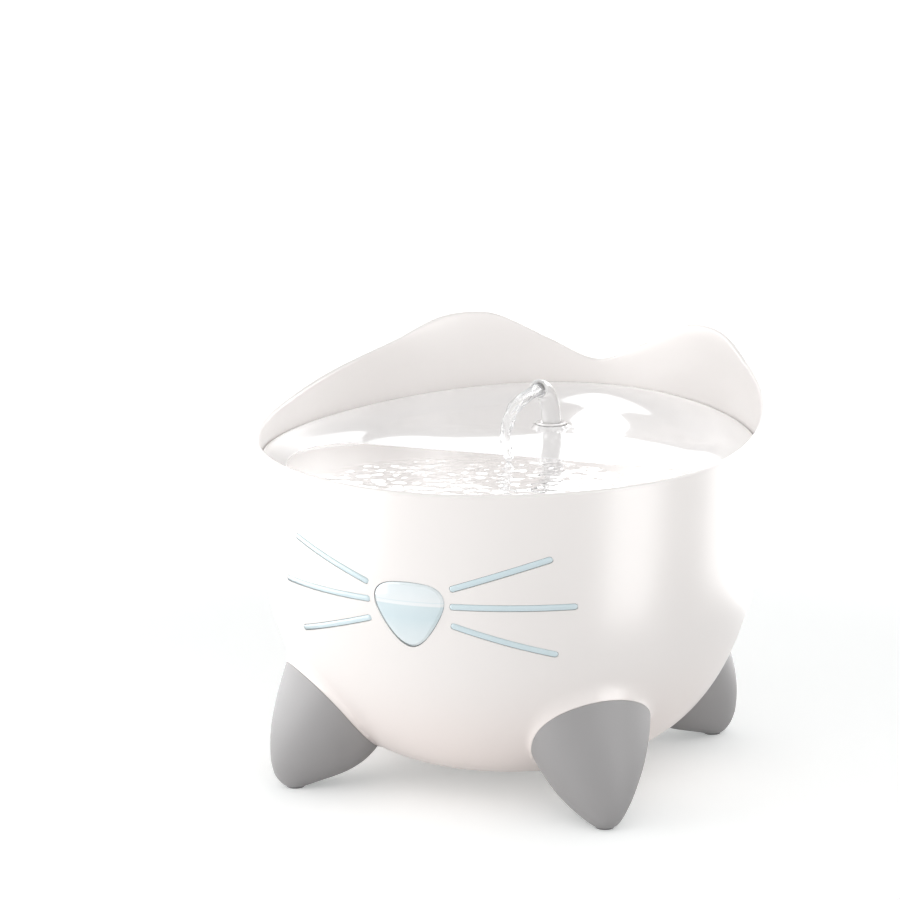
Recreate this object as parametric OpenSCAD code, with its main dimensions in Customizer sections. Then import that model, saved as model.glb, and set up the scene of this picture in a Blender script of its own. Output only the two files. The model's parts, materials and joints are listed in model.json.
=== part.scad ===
// Pet water fountain: a bowl on four feet with a cat-eared rim, a lift-out
// drinking tray with a swivelling spout, a filter unit and a submersible pump.
// Millimetres. The origin is on the floor under the bowl's axis. The face
// (nose and whiskers) looks along -Y, and +Z is up.

/* [Bowl] */
// Outer radius of the bowl at its widest
body_r = 121; // [115:0.5:130]
// Thickness of the bowl's wall
wall = 3; // [2.4:0.1:3.6]
// Height of the bowl's underside above the floor
base_z = 13.5; // [12:0.5:15]
// Height where the curved side turns upright
shoulder_z = 150; // [149:0.5:152]
// Height over which the side's curve would close at the axis
side_drop = 145; // [143:0.5:148]
// Height of the ledge that carries the tray
ledge_z = 146; // [145:0.5:147]
// How far the ledge stands in from the wall
ledge_depth = 4.5; // [3.5:0.1:5.5]

/* [Rim and ears] */
// Height of the rim at the front
rim_front_z = 157; // [155:0.5:162]
// Height of the rim at the sides
rim_side_z = 168; // [165:0.5:172]
// Height of the ears' tips
ear_tip_z = 202; // [195:0.5:210]
// Height of the dip between the ears
rim_back_z = 179; // [176:0.5:185]
// Angle from the face to each ear's tip
ear_angle = 148; // [144:1:152]

/* [Feet] */
// Distance from the bowl's widest line in to each foot's tip
foot_tip_in = 11; // [7:0.5:15]
// How far a foot reaches out past the bowl's widest line
foot_reach_out = 0.5; // [-2:0.5:3]
// Half of a foot's width where it is widest
foot_half_w = 30.5; // [27:0.5:33]
// Angle from the face to each front foot
front_foot_angle = 45; // [42:1:50]
// Angle from the face to each rear foot
rear_foot_angle = 134.5; // [130:0.5:138]
// Thickness of the shoulder at the foot's upper edge
shoulder_t = 3.6; // [3:0.1:5]
// Radius of a rubber pad
pad_r = 4.2; // [3.6:0.1:4.6]
// How far a pad stands out of its foot
pad_proud = 0.8; // [0.5:0.1:1.2]
// Distance from the bowl's face out to each foot's screw, at the boss's top
foot_screw_out = 0.6; // [-1:0.1:2]
// Radius of a foot screw's shank
foot_shank_r = 1.5; // [1.25:0.05:1.75]

/* [Face] */
// Mean radius of the nose's outline
nose_r = 15.9; // [14:0.2:18]
// Height of the nose's middle
nose_z = 103.5; // [101:0.5:106]
// How far the nose's dome stands out of the wall
nose_proud = 1.8; // [1:0.1:2.4]
// Width of a whisker bar
whisker_w = 2.8; // [2:0.1:3.4]
// How far a whisker bar stands out of the wall
whisker_proud = 0.5; // [0.3:0.1:0.8]
// Depth of a whisker's groove
whisker_depth = 1.6; // [1.2:0.1:1.8]

/* [Tray] */
// Gap between the tray's edge and the bowl's wall
tray_gap = 0.4; // [0.3:0.05:0.6]
// Thickness of the tray
tray_t = 2.4; // [2:0.1:2.8]
// Height of the tray's edge at the front
tray_front_z = 152.6; // [151.6:0.2:154]
// Height of the tray's edge at the back
tray_back_z = 166.6; // [163:0.2:170]
// Height of the pool's bottom
pool_z = 142; // [141.5:0.1:143]
// Height of the raised back part beside the spout
plateau_z = 154.6; // [154:0.1:155.4]
// Radius of the dish's floor
dish_floor_r = 88; // [86:0.5:90]
// Number of drain holes
drain_count = 9; // [5:2:13]
// Radius of a drain hole
drain_r = 2.4; // [1.8:0.1:2.8]

/* [Spout] */
// Distance from the axis back to the spout
spout_y = 54; // [53:0.5:55]
// Outer radius of the spout
spout_r = 3.9; // [3.5:0.1:4.2]
// Bore radius of the spout
spout_bore_r = 2.7; // [2:0.1:2.9]
// Radius of the spout's bend, at its middle
spout_bend_r = 19; // [16:0.5:21]
// Angle of the spout's bend
spout_bend = 85; // [60:1:90]
// Radius of the collar's flange
collar_r = 7.6; // [7.4:0.1:8.2]
// Swing of the spout to each side
spout_swing = 35; // [20:1:50]

/* [Pump] */
// Outer radius of the well that holds the pump
well_r = 36; // [35.5:0.5:38]
// Height of the well's top edge
well_top_z = 84; // [82:0.5:88]
// Outer radius of the riser tube
riser_r = 5; // [4.8:0.1:5.2]
// Bore radius of the riser tube
riser_bore_r = 3.2; // [3:0.1:3.4]
// Radius of the impeller's blades
impeller_r = 11; // [9:0.5:11.5]
// Number of impeller blades
blade_count = 6; // [4:1:9]
// Radius of the rotor magnet
magnet_r = 6.4; // [5.5:0.1:6.5]
// Radius of the impeller's shaft
shaft_r = 1.25; // [1:0.05:1.5]
// Travel of the flow regulator
regulator_travel = 6; // [4:0.5:6]

/* [Power inlet] */
// Height of the inlet's axis
inlet_z = 128; // [124:0.5:130]
// Radius of the inlet's bore
inlet_bore_r = 2.75; // [2.6:0.05:3]
// Radius of the inlet's centre pin
inlet_pin_r = 1; // [0.9:0.05:1.2]
// Radius of a lead
lead_r = 1.9; // [1.5:0.1:2]

/* [Hidden] */
$fn = 72;

// Clearances
fit = 0.05;        // a running or seated fit
loose = 0.3;       // a piece that lifts out or slides
groove_gap = 0.12; // round a whisker or the nose
over = 1;          // how far a cutter runs past what it cuts

// Bowl
floor_z = base_z + wall;
inner_r = body_r - wall;
side_steps = 26;

function closing(r, drop, z) = z >= shoulder_z ? r
  : r * pow(1 - pow((shoulder_z - z) / drop, 2.5), 1 / 3);
function outer_at(z) = closing(body_r, side_drop, z);
function inner_at(z) = closing(inner_r, side_drop - wall, z);
function levels(low, high) =
  [for (i = [0 : side_steps]) low + (high - low) * pow(i / side_steps, 1.35)];

// Rim: height against the angle from the face
rim_stations = [
  [-35, rim_front_z + 0.12 * (rim_side_z - rim_front_z)],
  [0, rim_front_z],
  [35, rim_front_z + 0.12 * (rim_side_z - rim_front_z)],
  [65, rim_front_z + 0.38 * (rim_side_z - rim_front_z)],
  [90, rim_side_z],
  [110, rim_side_z + 0.3 * (ear_tip_z - rim_side_z)],
  [128, rim_side_z + 0.62 * (ear_tip_z - rim_side_z)],
  [ear_angle - 8, rim_side_z + 0.93 * (ear_tip_z - rim_side_z)],
  [ear_angle, ear_tip_z],
  [ear_angle + 7, rim_back_z + 0.93 * (ear_tip_z - rim_back_z)],
  [168, rim_back_z + 0.4 * (ear_tip_z - rim_back_z)],
  [180, rim_back_z],
  [192, rim_back_z + 0.4 * (ear_tip_z - rim_back_z)]];

// Smooth curve through a table of [position, value] pairs
function hermite(a, b, ma, mb, t) =
  a * (2 * t * t * t - 3 * t * t + 1) + ma * (t * t * t - 2 * t * t + t)
  + b * (3 * t * t - 2 * t * t * t) + mb * (t * t * t - t * t);
function slope_at(t, i) = (t[i + 1][1] - t[i - 1][1]) / (t[i + 1][0] - t[i - 1][0]);
function span_of(t, x, i = 1) = i >= len(t) - 3 || x <= t[i + 1][0] ? i : span_of(t, x, i + 1);
function between(t, x, i) = let (w = t[i + 1][0] - t[i][0])
  hermite(t[i][1], t[i + 1][1], slope_at(t, i) * w, slope_at(t, i + 1) * w, (x - t[i][0]) / w);
function smooth_at(t, x) = between(t, x, span_of(t, x));
function rim_at(a) = smooth_at(rim_stations, a);

rim_step = 6;
rim_cut_top = ear_tip_z + 20;
rim_cut_reach = body_r + 10;

// Feet
foot_angles = [-front_foot_angle, front_foot_angle, -rear_foot_angle, rear_foot_angle];
foot_tip_r = body_r - foot_tip_in;
foot_reach = body_r + foot_reach_out;
// Each slice of a foot: height, outer reach, inner reach, half width
foot_slices = [
  [pad_proud, foot_tip_r + 5, foot_tip_r - 5, 4.8],
  [2.5, foot_reach - 4.4, foot_tip_r - 11, 0.24 * foot_half_w],
  [7, foot_reach - 1.4, foot_tip_r - 28, 0.39 * foot_half_w],
  [15, foot_reach, foot_tip_r - 39, 0.59 * foot_half_w],
  [28, foot_reach - 1, foot_tip_r - 46, 0.82 * foot_half_w],
  [42, foot_reach - 4.6, foot_tip_r - 48, 0.96 * foot_half_w],
  [55, foot_reach - 9.2, foot_tip_r - 48, foot_half_w],
  [61.5, foot_reach - 11.4, foot_tip_r - 48, 0.96 * foot_half_w],
  [67, foot_reach - 14, foot_tip_r - 48, 0.8 * foot_half_w]];
foot_join_z = 60;
foot_over = 12;
foot_fn = 32;
boss_r = 4.2;
boss_foot_z = 12;
boss_top_z = 30;
foot_screw_r = outer_at(boss_top_z) + foot_screw_out;
foot_screw_top = 26;
foot_head_r = 2.1 * foot_shank_r;
foot_head_h = 2.2;
foot_head_z = boss_foot_z - 3.5;
pad_depth = 2.2;

// Face
nose_wave = 0.13;
nose_round = 0.015;
nose_squash = 0.93;
nose_dome_r = 62;
nose_lean = 7.5;
nose_back = 8;
nose_wall_y = -outer_at(nose_z);
groove_floor = whisker_depth + fit;
band_below = 26;
band_above = 32;
// Whisker bars: inner end [x, z], outer end [x, z]
whisker_ends = [
  [[20.8, nose_z + 11.4], [60.8, nose_z + 25]],
  [[20.5, nose_z + 3.1], [69.6, nose_z + 3.1]],
  [[20.5, nose_z - 6], [61, nose_z - 19.1]]];

// Light behind the nose
pod_w = 56;
pod_below = 23;
pod_above = 24;
pod_low_z = nose_z - pod_below;
pod_high_z = nose_z + pod_above;
pod_wall = 2.4;
pod_depth = 19;
pod_rim_y = nose_wall_y + pod_depth;
pod_boss_r = 3.2;
pod_boss_in = 4.6;
pod_boss_x = pod_w / 2 - pod_boss_in;
pod_boss_z = [pod_low_z + pod_boss_in, pod_high_z - pod_boss_in];
light_gasket_t = 1.5;
light_cover_t = 2.5;
light_screw_r = 1.2;
light_screw_len = 9;
light_cover_y = pod_rim_y + light_gasket_t;
board_w = 34;
board_h = 24;
board_t = 1.6;
standoff_len = 3.4;
standoff_r = 2;
standoff_in = 3;
board_y = light_cover_y - standoff_len - board_t;
led_size = [3.6, 1.3, 3];
led_pitch = 9;
light_lead_x = board_w / 2 - 10;
light_lead_z = nose_z - board_h / 2 + 5;
light_gland_len = 5;

// Tray
tray_r = inner_r - tray_gap;
tray_land = 2;
tray_sectors = 48;
tray_skirt_t = 4;
dish_slope = tray_r - tray_land - dish_floor_r;
dish_top_rings = concat([for (s = [0.125, 0.25, 0.375, 0.49, 0.6, 0.715, 0.83, 0.93, 1]) s * dish_floor_r],
  [for (s = [0.22, 0.42, 0.6, 0.76, 0.89]) dish_floor_r + s * dish_slope]);
dish_low_rings = concat([for (s = [0.8, 0.62, 0.42, 0.22]) dish_floor_r + s * dish_slope],
  [for (s = [1, 0.91, 0.8, 0.68, 0.56, 0.42, 0.28, 0.14]) s * dish_floor_r]);
ramp_len = 70;
ramp_clear = 8;
ramp_end_y = spout_y - ramp_clear;
ramp_start_y = ramp_end_y - ramp_len;
back_rise = tray_back_z - plateau_z - 0.3;
back_bend = 1.3;
drain_ring_in = 10.6;
drain_ring_r = tray_r - drain_ring_in;
drain_spread = 11;
socket_r = collar_r + 1;
socket_foot_z = plateau_z - 16;
socket_bore_r = riser_r + loose;
collar_seat_z = plateau_z - 5.2;
collar_sleeve_r = spout_r + 2;
collar_flange_t = 1.1;
// Stop that limits the spout's swing: a lug on the spout in an arc in the collar
stop_r = spout_r + 1;
stop_h = 1.8;
stop_half = 20;
stop_slack = 4;
spout_low_z = collar_seat_z + 0.4;

// Height of the tray's edge against the angle from the face
function tray_edge(a) = tray_front_z
  + (tray_back_z - tray_front_z) * pow((1 - cos(a)) / 2, 3.2);
function eased(t) = t <= 0 ? 0 : t >= 1 ? 1 : t * t * (3 - 2 * t);
function dish_floor(y) = pool_z
  + (plateau_z - pool_z) * eased((y - ramp_start_y) / (ramp_end_y - ramp_start_y))
  + back_rise * pow(max(0, (y - ramp_end_y) / (tray_r - ramp_end_y)), back_bend);
// Height of the dish's upper face
function dish_at(r, a) = let (f = dish_floor(-r * cos(a)))
  r <= dish_floor_r ? f
  : f + (tray_edge(a) - f) * pow(min(1, (r - dish_floor_r) / (tray_r - tray_land - dish_floor_r)), 1.35);
function on_ring(r, a, z) = [r * sin(a), -r * cos(a), z];
boss_top = dish_floor(spout_y + socket_r) + 0.05;

// Pump, along Y, with its outlet under the spout
well_y = spout_y - 22;
well_wall = 2;
well_floor_t = 2.5;
well_chamfer = 7;
well_in_r = well_r - well_wall;
peg_r = 3.9;
peg_h = 1.5;
pump_z = 39;
cup_h = 5;
motor_w = 32;
motor_reach = 30;
motor_front_in = 6;
motor_back_y = spout_y - motor_reach;
motor_front_y = spout_y - motor_front_in;
motor_low_z = floor_z + well_floor_t + cup_h;
motor_top_z = 2 * pump_z - motor_low_z;
volute_r = 15;
volute_bore_r = 12.5;
volute_front_y = spout_y + 5;
cover_t = 3;
cover_y = volute_front_y;
chamber_r = magnet_r + 0.6;
chamber_wall = 1.4;
chamber_back_y = motor_back_y + 3.5;
stator_gap = 0.1;
stator_w = 27;
stator_h = 23;
stator_front_y = motor_front_y - 3;
end_cap_t = 1.5;
nipple_low_z = pump_z + volute_bore_r + 0.5;
nipple_top_z = pump_z + 29;
nipple_step = 1.6;
nipple_r = riser_bore_r - fit;
nipple_bore_r = 2.2;
riser_low_z = motor_top_z + 1.5;
riser_top_z = collar_seat_z - 0.5;
bush_r = 2.6;
bush_len = 1.6;
inlet_hole_r = 6.5;
hub_r = 3.8;
impeller_back_y = motor_front_y + 1;
impeller_front_y = volute_front_y - 2.5;
blade_t = 1.4;
regulator_w = 14;
regulator_h = 10;
regulator_t = 1.2;
regulator_gap = 0.1;
regulator_low_z = pump_z - 13.2;
rail_w = 1.4;
rail_low_z = pump_z - 11;
rail_top_z = regulator_low_z + regulator_h + regulator_travel + 1;
rail_lip = 1.3;
cup_r = 5;
cup_spots = [for (x = [-11, 11], y = [motor_back_y + 5.5, motor_front_y - 4]) [x, y]];

// Filter unit
basket_r = well_in_r - 0.6;
basket_wall = 1.5;
basket_low_z = well_top_z - 20;
basket_flange_t = 1.5;
basket_in_r = basket_r - basket_wall;
sleeve_bore_r = riser_r + 0.7;
sleeve_r = sleeve_bore_r + 1.4;
foam_t = 6;
lid_t = 2;
lid_z = well_top_z + basket_flange_t;
cartridge_top_z = lid_z - 0.2;
cartridge_gap = 0.3;
slot_w = 3;
slot_pitch = 7;
slot_short = 10;
lid_slot_reach = 16;
handle_w = 18;
handle_t = 4;
handle_h = 9;
handle_y = lid_slot_reach + handle_t;

// Power inlet, along Y at the back
inlet_wall_y = outer_at(inlet_z);
inlet_barrel_r = 6.1;
inlet_flange_r = 8.8;
inlet_flange_t = 1.3;
inlet_seal_t = 0.8;
inlet_seat_y = inlet_wall_y - inlet_flange_t - inlet_seal_t + 0.3;
inlet_boss_r = 11;
inlet_boss_y = inlet_wall_y - 9;
inlet_nut_t = 3.5;
inlet_tail_y = inlet_wall_y - 17;
inlet_depth = 9.5;
inlet_mouth_y = inlet_seat_y + inlet_seal_t + inlet_flange_t;
inlet_pin_len = 8;
lead_x = 2.6;

// Leads: each end is on the piece that it joins, and the run between follows the wall
lead_wall_gap = 12;
lead_hole_z = pump_z + 14;
lead_hole_turn = 42;
lead_hole_at = [-(well_r - well_wall / 2) * cos(11), well_y - (well_r - well_wall / 2) * sin(11)];
lead_gland_at = [-8, pump_z + 6];
lead_gland_len = 3;
lead_run = 4;
inlet_approach = 5;
function beside_wall(a, gap, z) = on_ring(inner_at(z) - gap, a, z);
function through_hole(k) =
  [lead_hole_at[0] - k * cos(lead_hole_turn), lead_hole_at[1] + k * sin(lead_hole_turn), lead_hole_z];
// The run beside the wall: angle from the face, share of the rise, extra gap in lead runs
function wall_run(side, low_z, stations) = [for (s = stations)
  beside_wall(side * s[0], lead_wall_gap + s[2] * lead_run, low_z + s[1] * (inlet_z - low_z))];
function to_inlet(side) = [
  [side * (lead_x + 2 * lead_run), inlet_tail_y - inlet_approach / 2, inlet_z - inlet_approach],
  [side * (lead_x + 1), inlet_tail_y - inlet_approach, inlet_z - 0.6],
  [side * lead_x, inlet_tail_y - inlet_approach / 3, inlet_z], [side * lead_x, inlet_tail_y, inlet_z]];
pump_lead_route = concat([
  [lead_gland_at[0], motor_back_y, lead_gland_at[1]],
  [lead_gland_at[0], motor_back_y - lead_gland_len - lead_run, lead_gland_at[1]],
  [lead_gland_at[0] - lead_run, motor_back_y - lead_gland_len - 2.4 * lead_run, lead_gland_at[1] + 3],
  [lead_gland_at[0] - 3.5 * lead_run, motor_back_y - lead_gland_len - 1.75 * lead_run, lead_hole_z - 1],
  through_hole(-3.4), through_hole(10.1)],
  wall_run(-1, lead_hole_z, [[128, 0.03, 5.2], [131, 0.12, 2], [137.5, 0.25, 0], [146, 0.41, 0],
    [157, 0.6, 0], [167, 0.77, 0]]), to_inlet(-1));
light_lead_route = concat([
  [light_lead_x, board_y + board_t, light_lead_z],
  [light_lead_x, light_cover_y + light_gland_len + 0.5, light_lead_z],
  [light_lead_x, light_cover_y + light_gland_len + lead_run, light_lead_z],
  [light_lead_x + 2 * lead_run, light_cover_y + light_gland_len + 2 * lead_run, light_lead_z - lead_run / 2],
  [pod_w / 2, light_cover_y + light_gland_len + 2.6 * lead_run, light_lead_z - 1.5 * lead_run]],
  wall_run(1, pod_low_z, [[30, 0.12, 1], [44, 0.03, 0], [58, 0, 0], [74, 0, 0], [89, 0.01, 0],
    [105, 0.07, 0], [120, 0.2, 0], [136, 0.39, 0], [151, 0.6, 0], [165, 0.79, 0]]), to_inlet(1));
lead_sides = 8;

// ---- Shapes that repeat ----

// Cylinder along +Y from y1 to y2
module rod_y(r, y1, y2, x = 0, z = 0) {
  translate([x, y1, z]) rotate([-90, 0, 0]) cylinder(r = r, h = y2 - y1);
}

// Block given by its low and high corners
module block(low, high) {
  translate(low) cube(high - low);
}

// Upright tube
module tube(r, bore, z1, z2) {
  translate([0, 0, z1]) difference() {
    cylinder(r = r, h = z2 - z1);
    translate([0, 0, -over]) cylinder(r = bore, h = z2 - z1 + 2 * over);
  }
}

// A copy at each foot, with +X pointing outwards
module at_feet() {
  for (a = foot_angles) rotate([0, 0, a - 90]) children();
}

// Swept round tube along a route, smoothed between its points
function padded(p) = concat([2 * p[0] - p[1]], p, [2 * p[len(p) - 1] - p[len(p) - 2]]);
function route_point(p, i, t) = 0.5 * (2 * p[i]
  + (p[i + 1] - p[i - 1]) * t
  + (2 * p[i - 1] - 5 * p[i] + 4 * p[i + 1] - p[i + 2]) * t * t
  + (3 * p[i] - p[i - 1] - 3 * p[i + 1] + p[i + 2]) * t * t * t);
function smooth_route(route) = let (p = padded(route))
  concat([for (i = [1 : len(p) - 3]) for (t = [0, 0.5]) route_point(p, i, t)], [p[len(p) - 2]]);
function unit(v) = v / norm(v);
function heading(p, i) = unit(p[min(i + 1, len(p) - 1)] - p[max(i - 1, 0)]);
function carried(p, i) = i == 0
  ? unit(cross(heading(p, 0), [0.31, 0.17, 0.93]))
  : let (h = heading(p, i), before = carried(p, i - 1)) unit(before - h * (before * h));
module lead(route, r) {
  p = smooth_route(route);
  n = len(p);
  points = [for (i = [0 : n - 1]) let (h = heading(p, i), u = carried(p, i), v = cross(h, u))
    for (k = [0 : lead_sides - 1])
      p[i] + r * (cos(360 * k / lead_sides) * u + sin(360 * k / lead_sides) * v)];
  sides = [for (i = [0 : n - 2]) for (k = [0 : lead_sides - 1])
    let (a = i * lead_sides + k, b = i * lead_sides + (k + 1) % lead_sides)
      for (f = [[a, b, b + lead_sides], [a, b + lead_sides, a + lead_sides]]) [f[2], f[1], f[0]]];
  ends = [[for (k = [0 : lead_sides - 1]) k],
    [for (k = [lead_sides - 1 : -1 : 0]) (n - 1) * lead_sides + k]];
  polyhedron(points = points, faces = concat(sides, ends), convexity = 6);
}

// ---- Bowl ----

// Solid of revolution under the bowl's outer face, grown by a margin
module bowl_outside(top, grow = 0) {
  rotate_extrude() polygon(concat([[0, base_z]],
    [for (z = levels(base_z, shoulder_z)) [outer_at(z) + grow, z]],
    [[body_r + grow, top], [0, top]]));
}

module bowl_inside(top) {
  rotate_extrude() polygon(concat([[0, floor_z]],
    [for (z = levels(floor_z, shoulder_z)) [inner_at(z), z]],
    [[inner_r, top], [0, top]]));
}

// The surface that parts the feet from the shoulders
function parting_at(z) = outer_at(z)
  + 0.4 + (shoulder_t - 0.4) * (z - base_z) / (foot_join_z - base_z);
module parting_solid() {
  rotate_extrude() polygon(concat([[0, base_z]],
    [for (z = levels(base_z, foot_join_z + foot_over)) [parting_at(z), z]],
    [[0, foot_join_z + foot_over]]));
}

module foot_form(first) {
  hull() for (i = [first : len(foot_slices) - 1]) {
    s = foot_slices[i];
    translate([(s[1] + s[2]) / 2, 0, s[0]]) scale([(s[1] - s[2]) / 2, s[3], 1])
      cylinder(r = 1, h = 0.01, $fn = foot_fn);
  }
}

// Cutters that leave the rim's curve: the rise to the ears, then the dip
module rim_cutters() {
  rise = [for (a = [0 : rim_step : ear_angle]) [-body_r * cos(a), rim_at(a)]];
  rotate([90, 0, 90]) translate([0, 0, -rim_cut_reach])
    linear_extrude(2 * rim_cut_reach) polygon(concat([[-rim_cut_reach, rim_cut_top],
      [-rim_cut_reach, rim_front_z]], rise,
      [[-body_r * cos(ear_angle), ear_tip_z], [rim_cut_reach, ear_tip_z],
      [rim_cut_reach, rim_cut_top]]));
  dip = [for (a = [180 : -rim_step / 2 : ear_angle + 0.5]) [body_r * sin(a), rim_at(a)]];
  mirrored = [for (i = [len(dip) - 1 : -1 : 1]) [-dip[i][0], dip[i][1]]];
  ear_x = body_r * sin(ear_angle);
  rotate([90, 0, 0]) translate([0, 0, -rim_cut_reach])
    linear_extrude(rim_cut_reach) polygon(concat([[-ear_x, rim_cut_top], [-ear_x, ear_tip_z]],
      mirrored, dip, [[ear_x, ear_tip_z], [ear_x, rim_cut_top]]));
}

module body_shell() {
  color("white") {
    difference() {
      union() {
        difference() {
          union() {
            bowl_outside(ear_tip_z);
            intersection() {
              at_feet() foot_form(3);
              parting_solid();
            }
            at_feet() translate([foot_screw_r, 0, boss_foot_z])
              cylinder(r = boss_r, h = boss_top_z - boss_foot_z);
          }
          bowl_inside(ear_tip_z + over);
        }
        tray_ledge();
        light_pod();
        rod_y(inlet_boss_r, inlet_boss_y, inlet_wall_y - 1.5, 0, inlet_z);
        translate([0, well_y, floor_z - over]) cylinder(r = peg_r, h = peg_h + over);
      }
      rim_cutters();
      at_feet() translate([foot_screw_r, 0, boss_foot_z - over])
        cylinder(r = foot_shank_r + fit, h = foot_screw_top - boss_foot_z + over);
      whisker_grooves();
      nose_plug(groove_gap, nose_wall_y - 10, nose_wall_y + 8);
      rod_y(inlet_barrel_r + 0.1, inlet_boss_y - over, inlet_wall_y + over, 0, inlet_z);
      rod_y(inlet_flange_r + 0.3, inlet_seat_y, inlet_wall_y + over, 0, inlet_z);
      for (x = [-1, 1], z = pod_boss_z)
        rod_y(light_screw_r + fit, pod_rim_y - light_screw_len, pod_rim_y + over, x * pod_boss_x, z);
    }
  }
}

module tray_ledge() {
  rotate_extrude() polygon([[inner_r + wall / 2, ledge_z - ledge_depth - 2.5],
    [inner_r, ledge_z - ledge_depth - 2.5], [inner_r - ledge_depth, ledge_z - 2.5],
    [inner_r - ledge_depth, ledge_z], [inner_r + wall / 2, ledge_z]]);
}

// Walls and screw bosses of the light's compartment, inside the front wall
module light_pod() {
  intersection() {
    bowl_outside(shoulder_z, -wall / 2);
    union() {
      difference() {
        block([-pod_w / 2, nose_wall_y - over, pod_low_z], [pod_w / 2, pod_rim_y, pod_high_z]);
        block([pod_wall - pod_w / 2, nose_wall_y - 2 * over, pod_low_z + pod_wall],
          [pod_w / 2 - pod_wall, pod_rim_y + over, pod_high_z - pod_wall]);
      }
      for (x = [-1, 1], z = pod_boss_z)
        rod_y(pod_boss_r, nose_wall_y, pod_rim_y, x * pod_boss_x, z);
    }
  }
}

// ---- Feet ----

module foot(a) {
  color("darkgray") rotate([0, 0, a - 90]) difference() {
    foot_form(0);
    parting_solid();
    translate([foot_tip_r, 0, pad_proud - over]) cylinder(r = pad_r + fit, h = pad_depth + over);
    translate([foot_screw_r, 0, boss_foot_z]) cylinder(r = boss_r + 0.1, h = boss_top_z);
    translate([foot_screw_r, 0, -over]) cylinder(r = foot_shank_r + 0.2, h = boss_top_z);
    translate([foot_screw_r, 0, -over]) cylinder(r = foot_head_r + 0.3, h = foot_head_z + over);
  }
}

module foot_front_left() { foot(-front_foot_angle); }
module foot_front_right() { foot(front_foot_angle); }
module foot_rear_left() { foot(-rear_foot_angle); }
module foot_rear_right() { foot(rear_foot_angle); }

module foot_pads() {
  color("dimgray") at_feet() translate([foot_tip_r, 0, 0])
    cylinder(r = pad_r, h = pad_proud + pad_depth);
}

module foot_screws() {
  color("silver") at_feet() translate([foot_screw_r, 0, foot_head_z - foot_head_h]) {
    difference() {
      cylinder(r = foot_head_r, h = foot_head_h);
      translate([0, 0, -over]) cylinder(r = foot_shank_r, h = 1.2 + over, $fn = 6);
    }
    cylinder(r = foot_shank_r, h = foot_screw_top - loose - foot_head_z + foot_head_h);
  }
}

// ---- Face ----

function nose_outline(grow) = [for (t = [0 : 6 : 354])
  let (r = nose_r * (1 + nose_wave * cos(3 * (t + 90)) + nose_round * cos(6 * (t + 90))) + grow)
    [r * cos(t), nose_squash * r * sin(t)]];

// The nose's outline, extruded along Y from y1 to y2
module nose_plug(grow, y1, y2) {
  translate([0, y2, nose_z]) rotate([90, 0, 0]) linear_extrude(y2 - y1)
    polygon(nose_outline(grow));
}

module nose_window() {
  dome_y = nose_wall_y - nose_proud + nose_dome_r * cos(nose_lean);
  color("lightblue") intersection() {
    nose_plug(0, nose_wall_y - 8, nose_wall_y + nose_back);
    translate([0, dome_y, nose_z + nose_dome_r * sin(nose_lean)]) sphere(r = nose_dome_r, $fn = 144);
  }
}

module whisker_bar(ends, side, grow) {
  a = [side * ends[0][0], ends[0][1]];
  b = [side * ends[1][0], ends[1][1]];
  along = b - a;
  rotate([90, 0, 0]) translate([a[0], a[1], 2 / 3 * body_r]) rotate([0, 0, atan2(along[1], along[0])])
    linear_extrude(body_r) {
      circle(r = whisker_w / 2 + grow, $fn = 24);
      translate([norm(along), 0]) circle(r = whisker_w / 2 + grow, $fn = 24);
      translate([0, -whisker_w / 2 - grow]) square([norm(along), whisker_w + 2 * grow]);
    }
}

// Solid of revolution at a set depth under the wall's face, round the whiskers
module face_band(grow) {
  low = nose_z - band_below;
  high = nose_z + band_above;
  rotate_extrude() polygon(concat([[0, low]],
    [for (z = [low : 4 : high]) [outer_at(z) + grow, z]], [[0, high]]));
}

module whisker(ends, side) {
  color("lightblue") intersection() {
    whisker_bar(ends, side, 0);
    difference() {
      face_band(whisker_proud);
      face_band(-whisker_depth);
    }
  }
}

module whisker_grooves() {
  difference() {
    for (side = [-1, 1], ends = whisker_ends) whisker_bar(ends, side, groove_gap);
    face_band(-groove_floor);
  }
}

module whisker_left_upper() { whisker(whisker_ends[0], -1); }
module whisker_left_middle() { whisker(whisker_ends[1], -1); }
module whisker_left_lower() { whisker(whisker_ends[2], -1); }
module whisker_right_upper() { whisker(whisker_ends[0], 1); }
module whisker_right_middle() { whisker(whisker_ends[1], 1); }
module whisker_right_lower() { whisker(whisker_ends[2], 1); }

// ---- Light ----

module light_board() {
  color("darkgreen") block([-board_w / 2, board_y, nose_z - board_h / 2],
    [board_w / 2, board_y + board_t, nose_z + board_h / 2]);
}

module light_leds() {
  color("lightyellow") for (i = [-1 : 1])
    translate([i * led_pitch - led_size[0] / 2, board_y - led_size[1], nose_z - led_size[2] / 2])
      cube(led_size);
}

module light_screw_holes(r, y1, y2) {
  for (x = [-1, 1], z = pod_boss_z) rod_y(r, y1, y2, x * pod_boss_x, z);
}

module light_gasket() {
  color("dimgray") difference() {
    block([-pod_w / 2, pod_rim_y, pod_low_z], [pod_w / 2, light_cover_y, pod_high_z]);
    block([pod_wall - pod_w / 2, pod_rim_y - over, pod_low_z + 2 * pod_boss_in],
      [pod_w / 2 - pod_wall, light_cover_y + over, pod_high_z - 2 * pod_boss_in]);
    block([2 * pod_boss_in - pod_w / 2, pod_rim_y - over, pod_low_z + pod_wall],
      [pod_w / 2 - 2 * pod_boss_in, light_cover_y + over, pod_high_z - pod_wall]);
    light_screw_holes(light_screw_r + 0.3, pod_rim_y - over, light_cover_y + over);
  }
}

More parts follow.
